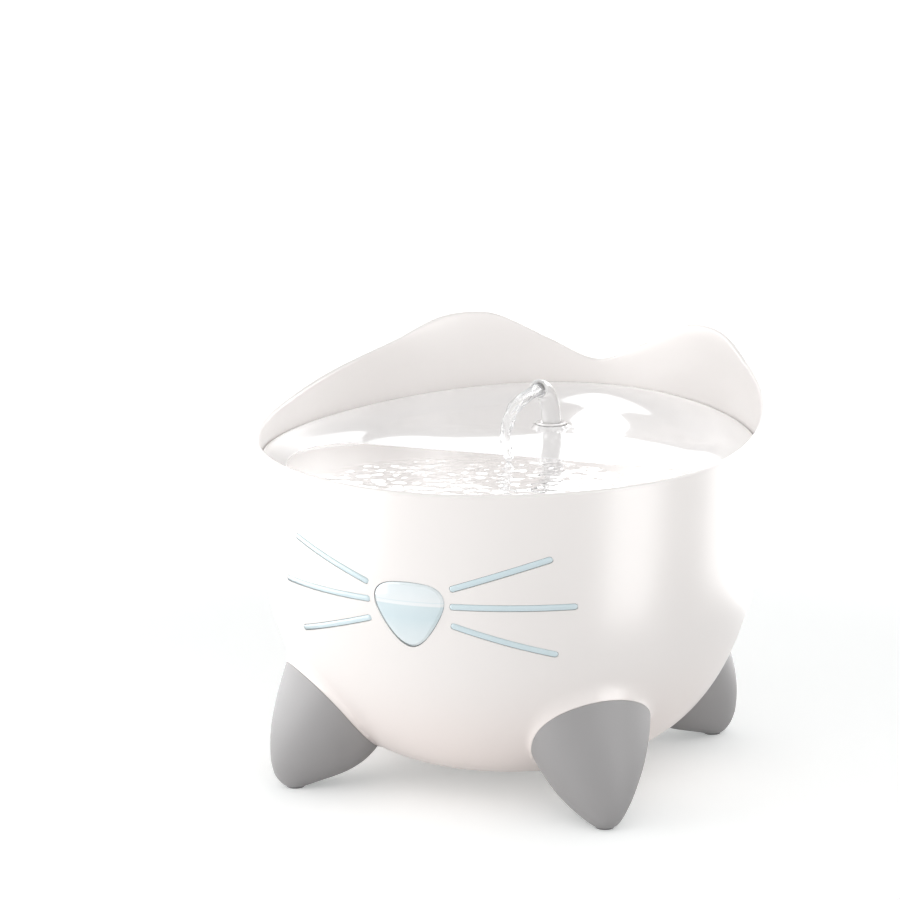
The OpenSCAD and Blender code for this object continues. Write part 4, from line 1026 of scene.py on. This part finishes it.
class FOUNTAIN_OT_feet(bpy.types.Operator):
    """Model one foot and place its four copies"""
    bl_idname = "fountain.feet"
    bl_label = "Feet"

    def execute(self, context):
        scene = context.scene
        bowl, foot = scene.fountain_bowl, scene.fountain_foot
        segments, side_rings, cap_rings = 96, 44, 10
        bottom = FOOT_SLICES[0][0]
        # Rings of the sole: share of the way out, drop; and the height where the joint face's rings close
        sole = ((0, 0.00045), (0.55, 0.0004), (0.9, 0.0002))
        hub = 0.038

        def parting(z):
            return float(outer_radius(bowl, z) + shoulder_at(bowl, z)) + foot.joint_gap

        def side_point(z, turn):
            middle, deep, half = foot_slice(foot, z)
            return Vector((float(middle + deep * math.cos(turn)), float(half * math.sin(turn)), z))

        def joint_height(turn):
            low, high = bowl.base, 0.0665
            for _ in range(24):
                z = (low + high) / 2
                point = side_point(z, turn)
                if math.hypot(point.x, point.y) > parting(z):
                    low = z
                else:
                    high = z
            return low

        joints = {}

        def place(ring, turn):
            key = round(turn, 4)
            if key not in joints:
                joints[key] = joint_height(turn)
            top = joints[key]
            if ring < len(sole):
                out, drop = sole[ring]
                middle = Vector((float(foot_slice(foot, bottom)[0]), 0, bottom))
                return middle.lerp(side_point(bottom, turn), out) - Vector((0, 0, drop))
            if ring <= side_rings:
                share = (ring - 2) / (side_rings - 2)
                return side_point(bottom + (top - bottom) * share**1.25, turn)
            share = 1 - (ring - side_rings) / cap_rings
            edge = side_point(top, turn)
            z = hub + (top - hub) * share
            around = math.atan2(edge.y, edge.x) * share
            r = parting(z)
            return Vector((r * math.cos(around), r * math.sin(around), z))

        model = formed("foot", segments, side_rings + cap_rings, place)
        smoothed(model, 50)
        for name, turn in foot_turns(foot).items():
            copy = model.copy()
            copy.data = model.data.copy()
            copy.name = copy.data.name = f"foot_{name}_shell"
            scene.collection.objects.link(copy)
            copy.rotation_euler.z = turn
            settle(copy)
            placed(copy, "base", "foot_grey", f"foot_{name}")
        bpy.data.meshes.remove(model.data)
        return {"FINISHED"}


# ---- Face ----

class FOUNTAIN_OT_face(bpy.types.Operator):
    """Model the nose window and the six whisker bars"""
    bl_idname = "fountain.face"
    bl_label = "Nose and whiskers"

    def execute(self, context):
        scene = context.scene
        bowl, face = scene.fountain_bowl, scene.fountain_face
        wall_y = -float(outer_radius(bowl, face.nose_height))
        back_y = wall_y + 0.008
        dome_y = wall_y - face.nose_proud + face.dome_radius * math.cos(face.dome_lean)
        dome_z = face.nose_height + face.dome_radius * math.sin(face.dome_lean)
        # How far each ring of the nose's rounded edge lies in from its outline and back from its dome
        chamfer = ((0.0, 0.0011), (0.00022, 0.00062), (0.0006, 0.00034), (0.0011, 0.00016), (0.0013, 0.0))
        back_rings, wall_rings, dome_rings = 3, 3, 16
        rings = back_rings + wall_rings + len(chamfer) + dome_rings

        def dome(x, z):
            return dome_y - math.sqrt(face.dome_radius**2 - x * x - (z - dome_z)**2)

        def place(ring, turn):
            if ring <= back_rings:
                x, z = nose_outline(face, turn)
                share = ring / back_rings
                return Vector((x * share, back_y, face.nose_height + z * share))
            if ring < back_rings + wall_rings:
                x, z = nose_outline(face, turn)
                z += face.nose_height
                share = (ring - back_rings) / wall_rings
                front = dome(x, z) + chamfer[0][1]
                return Vector((x, back_y + (front - back_y) * share, z))
            step = ring - back_rings - wall_rings
            if step < len(chamfer):
                inset, drop = chamfer[step]
                x, z = nose_outline(face, turn, -inset)
                return Vector((x, dome(x, face.nose_height + z) + drop, face.nose_height + z))
            share = 1 - (step - len(chamfer) + 1) / (dome_rings + 1)
            x, z = nose_outline(face, turn, -chamfer[-1][0])
            x, z = x * share, face.nose_height + z * share
            if ring == rings:
                x, z = 0, face.nose_height
            return Vector((x, dome(x, z), z))

        nose = formed("nose_lens", 96, rings, place)
        placed(smoothed(nose, 25), "base", "window_blue", "nose_window")
        for side, hand in ((-1, "left"), (1, "right")):
            for level, ends in WHISKERS.items():
                bar = bar_form(f"whisker_bar_{hand}_{level}", bowl, face, ends, side,
                               face.bar_width / 2, -face.bar_depth, face.bar_proud, 2.4)
                placed(smoothed(bar, 60), "base", "window_blue", f"whisker_{hand}_{level}")
        return {"FINISHED"}


# ---- Tray and spout ----

# Heights that tell the flat dish's upper and under side apart, and heights clear below and over the tray
TOP_MARK, UNDER_MARK = 0.150, 0.130
BELOW_TRAY, OVER_TRAY = 0.12, 0.2
# Gap round the spout and its collar, and the height where the spout's bend starts
SLIDE_GAP = 0.00005
BEND_START = COLLAR_HIGH.z + 0.0001


def tray_profile(tray):
    """Outline of the tray with its dish left flat: the dish's height is given later"""
    floor = [0.004 * i for i in range(1, 11)] + [0.0412 + 0.0013 * i for i in range(20)]
    floor += [0.070, 0.075, 0.080, 0.084]
    slope = [tray.floor_radius + (tray.radius - tray.land - tray.floor_radius) * i / 14 for i in range(15)]
    top = [(0, TOP_MARK)] + [(r, TOP_MARK) for r in floor + slope]
    edge = [(tray.radius - 0.0006, TOP_MARK), (tray.radius - 0.00018, TOP_MARK - 0.00018),
            (tray.radius, TOP_MARK - 0.0006)]
    skirt = [(tray.radius, 0.146), (tray.radius - 0.004, 0.146)]
    under = [(r, UNDER_MARK) for r in (0.110, 0.105, 0.0995, 0.094, 0.088, 0.080, 0.070, 0.060, 0.049, 0.037,
                                       0.025, 0.012, 0)]
    return top + edge + skirt + under


def shape_dish(tray, spout, places):
    """Give the flat dish its heights, with a low boss under the collar"""
    x, y, z = places.T
    dish = dish_height(tray, x, y)
    away = np.hypot(x, y - spout.place)
    lift = eased((tray.socket_radius + 0.0009 - away) / 0.0009)
    crown = dish + lift * (boss_top(spout) - 0.00005 - dish)
    top = crown + (z - TOP_MARK)
    under = dish - tray.thickness
    places[:, 2] = np.where(z > TOP_MARK - 0.001, top, np.where(z < UNDER_MARK + 0.001, under, z))
    return places


def spout_mouth(spout):
    """Distance back and height of the middle of the spout's mouth"""
    return (spout.place - spout.bend_radius + spout.bend_radius * math.cos(spout.bend),
            BEND_START + spout.bend_radius * math.sin(spout.bend))


class FOUNTAIN_OT_tray(bpy.types.Operator):
    """Model the drinking tray with its ramp, drains and socket"""
    bl_idname = "fountain.tray"
    bl_label = "Drinking tray"

    def execute(self, context):
        scene = context.scene
        tray, spout = scene.fountain_tray, scene.fountain_spout
        piece = turned("tray_dish", tray_profile(tray), 288)
        moved(piece, lambda places: shape_dish(tray, spout, places))
        sleeve = spout.sleeve_radius + SLIDE_GAP
        cutters = [rod("socket_cutter", sleeve, (0, spout.place, BELOW_TRAY), (0, spout.place, OVER_TRAY))]
        for i in range(tray.drains):
            turn = tray.drain_pitch * (i - (tray.drains - 1) / 2)
            x, y = tray.drain_ring * math.sin(turn), -tray.drain_ring * math.cos(turn)
            cutters.append(rod("drain_cutter", tray.drain_radius, (x, y, BELOW_TRAY), (x, y, OVER_TRAY), 28))
        cutters.append(rod("recess_cutter", tray.socket_radius - 0.0006,
                           (0, spout.place, boss_top(spout) - 0.0007), (0, spout.place, OVER_TRAY), 72))
        cut(piece, cutters)
        seat_z, foot_z = COLLAR_LOW.z, SOCKET_LOW.z
        lip_z = seat_z + 0.0015
        outer, bore = tray.socket_radius, 0.0053
        socket = turned("socket", [(bore, foot_z), (outer, foot_z), (outer, lip_z), (sleeve, lip_z),
                                   (sleeve, seat_z), (bore, seat_z), (bore, foot_z)], 64)
        socket.location.y = spout.place
        settle(socket)
        joined(piece, [socket])
        smoothed(piece, 32)
        placed(piece, "tray", "tray_white", "drinking_tray", "tray_socket")
        return {"FINISHED"}


class FOUNTAIN_OT_spout(bpy.types.Operator):
    """Model the bent spout and the collar round its foot"""
    bl_idname = "fountain.spout"
    bl_label = "Spout and collar"

    def execute(self, context):
        spout = context.scene.fountain_spout
        seat = boss_top(spout)
        top = COLLAR_HIGH.z
        outer, inner = spout.collar_radius, spout.radius + SLIDE_GAP
        round_r = 0.00055
        outline = [(inner, COLLAR_LOW.z), (spout.sleeve_radius, COLLAR_LOW.z), (spout.sleeve_radius, seat),
                   (outer - 0.0002, seat), (outer, seat + 0.0002)]
        outline += [(outer - round_r + round_r * math.cos(t), top - round_r + round_r * math.sin(t))
                    for t in [math.pi / 2 * i / 5 for i in range(6)]]
        outline += [(spout.radius + 0.0020, top), (spout.radius + 0.0013, top - 0.0002),
                    (inner + 0.0004, seat - 0.0001), (inner, seat - 0.0008), (inner, COLLAR_LOW.z)]
        collar = turned("collar_ring", outline, 72)
        collar.location.y = spout.place
        settle(collar)
        smoothed(collar, 40)
        placed(collar, "tray", "tray_white", "spout_collar")

        flare = 0.0009
        leave_edit_mode()
        bpy.ops.mesh.primitive_circle_add(vertices=48, radius=spout.radius, fill_type="NGON",
                                          location=(0, spout.place, SPOUT_LOW.z))
        with editing(context.object):
            ring_from_face(spout.radius - spout.bore)
            extrude((0, 0, BEND_START - flare - SPOUT_LOW.z))
            extrude((0, 0, flare))
            bpy.ops.transform.resize(value=(spout.swell, spout.swell, 1),
                                     center_override=(0, spout.place, BEND_START))
            bpy.ops.mesh.spin(steps=28, angle=spout.bend, axis=(-1, 0, 0),
                              center=(0, spout.place - spout.bend_radius, BEND_START))
        pipe = mended(settle(named("spout_pipe")))
        mouth = Vector((0, -math.sin(spout.bend), math.cos(spout.bend)))
        tip = Vector((0, *spout_mouth(spout)))
        bevel_ring(pipe, lambda co: abs((co - tip).dot(mouth)) < 1e-5 and co.y < spout.place - 0.01, 0.0005)
        smoothed(pipe, 50)
        placed(pipe, "swivel_spout", "clear_plastic", "spout", finish="spout_frosted")
        return {"FINISHED"}


# ---- Water ----

# The stream's way, as shares of its reach and of its fall
STREAM_OUT = (
    (0, 0), (0.2, 0.39), (0.36, 0.74), (0.48, 0.93), (0.62, 1.03), (0.78, 1.10), (0.90, 1.08), (1, 1.0))
STREAM_DOWN = (
    (0, 0), (0.2, 0.03), (0.36, 0.09), (0.48, 0.21), (0.62, 0.41), (0.78, 0.64), (0.90, 0.83), (1, 1.0))
# Its thickness along that way, as a share of its mean
STREAM_WIDTH = ((0, 1.46), (0.1, 1.50), (0.28, 1.66), (0.5, 1.42), (0.75, 1.12), (1, 1.0))


def ripples(water, x, y):
    """Height of the ripples over the pool's level"""
    away = np.hypot(x, y - water.landing)
    rings = np.sin(away / 0.0011) * np.exp(-away / 0.018)
    ruffled = eased((RIPPLE_REACH - np.hypot(x - RIPPLE_CENTRE[0], y - RIPPLE_CENTRE[1])) / 0.012)
    chop = np.zeros_like(x)
    for i in range(9):
        turn, wave, phase = 2.39996 * i, 0.0055 + 0.0011 * i, 1.7 * i
        chop += np.sin((x * math.cos(turn) + y * math.sin(turn)) * 2 * math.pi / wave + phase
                       + 1.5 * np.sin(y * 140 + x * 90 + phase))
    return water.ripple * ruffled * (0.5 * rings + 0.25 * chop)


class FOUNTAIN_OT_water(bpy.types.Operator):
    """Model the pool in the tray and the stream that falls from the spout"""
    bl_idname = "fountain.water"
    bl_label = "Water"

    def execute(self, context):
        scene = context.scene
        water, tray, spout = scene.fountain_water, scene.fountain_tray, scene.fountain_spout
        reach, shore, count = 0.1125, 0.020, 76
        # How far the water goes into the dish past its shore, and the depth over which its surface sinks there
        sink, shelve = 0.0004, 0.0006
        low = water.level - 0.001
        top = [(reach * i / count, water.level) for i in range(count + 1)]
        under = [(reach, low)] + [(reach * i / 20, low) for i in range(19, -1, -1)]
        pool = turned("water_pool", top + under, 256)

        def fill(places):
            x, y, z = places.T
            dish = dish_height(tray, x, y)
            surface = water.level + ripples(water, x, y)
            upper = z > water.level - 0.0005
            sunk = dish - sink
            depth = np.clip((water.level + sink - dish) / shelve, 0, 1)
            skin = surface * depth + np.minimum(sunk, surface) * (1 - depth)
            places[:, 2] = np.where(upper, skin, sunk - shelve)
            return places

        moved(pool, fill)
        with editing(pool):
            bpy.ops.mesh.bisect(plane_co=(0, shore, 0), plane_no=(0, 1, 0), clear_outer=True, use_fill=True)
        smoothed(mended(pool), 60)
        placed(pool, "tray", "clear_plastic", finish="clear_water")

        mouth_y, mouth_z = spout_mouth(spout)
        start_y = mouth_y + 0.0030
        landing_z = water.level + 0.0004
        rings = 72

        def path(t):
            out, down = float(smooth_at(STREAM_OUT, t)), float(smooth_at(STREAM_DOWN, t))
            return Vector((0, start_y - (start_y - water.landing) * out,
                           mouth_z - (mouth_z - landing_z) * down))

        def place(ring, turn):
            t = ring / rings
            here = path(t)
            along = (path(min(1, t + 0.01)) - path(max(0, t - 0.01))).normalized()
            side = Vector((1, 0, 0))
            up = side.cross(along)
            cap = min(1, ring / 3, (rings - ring) / 2)**0.5 if 0 < ring < rings else 0
            width = water.stream_radius * (float(smooth_at(STREAM_WIDTH, t)) + 0.10 * math.sin(23 * t))
            flat = 0.80 + 0.12 * math.sin(7 * t + 1.9)
            lobe = 1 + 0.12 * math.sin(3 * turn + 14 * t) + 0.07 * math.sin(5 * turn - 21 * t)
            sway = 0.0006 * math.sin(8 * t) * t
            return (here + side * (cap * width * lobe * math.cos(turn) + sway)
                    + up * cap * width * flat * lobe * math.sin(turn))

        stream = formed("water_stream", 32, rings, place)
        smoothed(stream, 80)
        placed(stream, "swivel_spout", "clear_plastic", finish="clear_stream")
        return {"FINISHED"}


# ---- Inner pieces ----

class FOUNTAIN_OT_inner(bpy.types.Operator):
    """Give every CAD node that still shows its own finish"""
    bl_idname = "fountain.inner"
    bl_label = "Inner pieces"

    def execute(self, context):
        for name, node in frame["nodes"].items():
            if node.hide_render:
                continue
            node.data.materials.clear()
            node.data.materials.append(finish_for(NODE_SLOTS[name]))
        return {"FINISHED"}


# ---- Stage ----

def area_light(name, place, aim, size, power):
    """A soft rectangular light that points at a spot"""
    leave_edit_mode()
    bpy.ops.object.light_add(type="AREA", location=place)
    lamp = bpy.context.object
    lamp.name = lamp.data.name = name
    lamp.data.shape = "RECTANGLE"
    lamp.data.size, lamp.data.size_y = size
    lamp.data.energy = power
    lamp.rotation_euler = (Vector(aim) - Vector(place)).to_track_quat("-Z", "Y").to_euler()
    return lamp


def gloss_panel(name, place, aim, size, brightness):
    """A panel of even brightness that shows in gloss alone"""
    panel = area_light(name, place, aim, size, brightness * math.pi * size[0] * size[1])
    panel.visible_diffuse = panel.visible_camera = panel.visible_transmission = False


def upright_panel(name, degrees, away, width, brightness, height=0.50):
    """A gloss panel that stands on the floor, at an angle from the face"""
    turn = math.radians(degrees)
    place = (away * math.sin(turn), -away * math.cos(turn), height / 2)
    gloss_panel(name, place, (0, 0, height / 2), (width, height), brightness)


def floor_finish(lift):
    """Pale matt floor that shows white to the camera, away from the shadow"""
    material, tree, shader, place = new_finish("studio_floor")
    tree.nodes.remove(shader)
    away = add(tree, "ShaderNodeVectorMath", operation="LENGTH", in0=place)
    far = span(tree, away, 0.28, 1.0, SMOOTH, to_min=lift, to_max=1.0)
    path = tree.nodes.new("ShaderNodeLightPath").outputs
    seen = maths(tree, "MAXIMUM", path["Is Camera Ray"], path["Is Glossy Ray"])
    none = add(tree, "ShaderNodeEmission", color=(0, 0, 0, 1), strength=0.0)
    glow = add(tree, "ShaderNodeEmission", color=(0.96, 1, 0.99, 1), strength=far)
    shown = add(tree, "ShaderNodeMixShader", fac=seen, in1=none, in2=glow)
    matt = add(tree, "ShaderNodeBsdfDiffuse", color=(0.93, 0.93, 0.93, 1))
    total = add(tree, "ShaderNodeAddShader", in0=matt, in1=shown)
    feed(tree, total, tree.nodes["Material Output"].inputs["Surface"])
    return material


def studio_world(strength):
    """Even light all round that looks plain white to the camera, to gloss and through water"""
    world = bpy.data.worlds.new("Studio")
    bpy.context.scene.world = world
    world.use_nodes = True
    tree = world.node_tree
    path = tree.nodes.new("ShaderNodeLightPath").outputs
    seen = maths(tree, "MAXIMUM", path["Is Camera Ray"], path["Is Glossy Ray"])
    seen = maths(tree, "MAXIMUM", seen, path["Is Transmission Ray"])
    level = span(tree, seen, 0, 1, to_min=strength, to_max=1.0)
    dress(tree, tree.nodes["Background"], strength=level, color=(1, 1, 1, 1))


class FOUNTAIN_OT_stage(bpy.types.Operator):
    """Set up the camera, the lights and the floor"""
    bl_idname = "fountain.stage"
    bl_label = "Stage"

    def execute(self, context):
        scene = context.scene
        stage = scene.fountain_stage
        scene.view_settings.view_transform = "Standard"
        level = math.cos(stage.elevation)
        back = Vector((math.sin(stage.azimuth) * level, -math.cos(stage.azimuth) * level,
                       math.sin(stage.elevation)))
        leave_edit_mode()
        bpy.ops.object.camera_add(location=Vector((0, 0, stage.target)) + back * stage.distance)
        camera = context.object
        camera.name = "Camera"
        camera.rotation_euler = (-back).to_track_quat("-Z", "Y").to_euler()
        camera.data.lens = stage.focal
        camera.data.shift_x, camera.data.shift_y = stage.shift_x, stage.shift_y
        scene.camera = camera

        aim = (0, 0, 0.1)
        area_light("Key light", (-1.05, -0.90, 0.30), aim, (0.8, 0.5), stage.key_power)
        low = area_light("Low light", (-0.50, -0.42, 0.05), (0, 0, 0.07), (0.35, 0.08), stage.low_power)
        low.visible_glossy = False
        area_light("Front light", (0.85, -1.05, 0.35), aim, (0.8, 0.6), stage.front_power)
        area_light("Overhead light", (0.30, -0.30, 1.20), aim, (1.2, 1.2), stage.fill_power)
        upright_panel("Left panel", -73, 0.38, 0.62, stage.panel_light * 1.1)
        upright_panel("Stripe panel", 66, 0.272, 0.095, stage.panel_light * 1.15)
        upright_panel("Back panel", 146, 0.30, 0.50, stage.panel_light)
        gloss_panel("Sky panel", (-0.25, 0.66, 0.62), (0, 0.05, 0.156), (1.7, 0.85), stage.sky_light)

        leave_edit_mode()
        bpy.ops.mesh.primitive_plane_add(size=400, location=(0, 0, 0))
        floor = settle(named("studio_floor"))
        floor.data.materials.append(floor_finish(stage.floor_lift))
        studio_world(stage.world_light)
        return {"FINISHED"}


# ---- Panel and registration ----

class FOUNTAIN_PT_panel(bpy.types.Panel):
    """Lists the fountain's pieces and sizes"""
    bl_idname = "FOUNTAIN_PT_panel"
    bl_label = "Pet water fountain"
    bl_space_type = "VIEW_3D"
    bl_region_type = "UI"
    bl_category = "Fountain"

    def draw(self, context):
        layout = self.layout
        for operator in OPERATORS:
            layout.operator(operator.bl_idname)
        for name in SETTINGS:
            group = getattr(context.scene, name)
            box = layout.box()
            for prop in group.bl_rna.properties:
                if prop.identifier not in {"rna_type", "name"}:
                    box.prop(group, prop.identifier)


SETTINGS = {
    "fountain_bowl": BowlSettings, "fountain_foot": FootSettings, "fountain_face": FaceSettings,
    "fountain_tray": TraySettings, "fountain_spout": SpoutSettings, "fountain_water": WaterSettings,
    "fountain_stage": StageSettings, "fountain_finish": FinishSettings}
OPERATORS = (
    FOUNTAIN_OT_stage, FOUNTAIN_OT_bowl, FOUNTAIN_OT_feet, FOUNTAIN_OT_face, FOUNTAIN_OT_tray,
    FOUNTAIN_OT_spout, FOUNTAIN_OT_water, FOUNTAIN_OT_inner)


def register():
    """Register the settings, the operators and the panel"""
    for name, group in SETTINGS.items():
        bpy.utils.register_class(group)
        setattr(bpy.types.Scene, name, bpy.props.PointerProperty(type=group))
    for operator in OPERATORS:
        bpy.utils.register_class(operator)
    bpy.utils.register_class(FOUNTAIN_PT_panel)


def unregister():
    """Undo register"""
    bpy.utils.unregister_class(FOUNTAIN_PT_panel)
    for operator in reversed(OPERATORS):
        bpy.utils.unregister_class(operator)
    for name, group in reversed(SETTINGS.items()):
        delattr(bpy.types.Scene, name)
        bpy.utils.unregister_class(group)


def main():
    """Build everything in order"""
    register()
    bpy.ops.fountain.stage()
    bpy.ops.fountain.bowl()
    bpy.ops.fountain.feet()
    bpy.ops.fountain.face()
    bpy.ops.fountain.tray()
    bpy.ops.fountain.spout()
    bpy.ops.fountain.water()
    bpy.ops.fountain.inner()


if __name__ == "__main__":
    main()
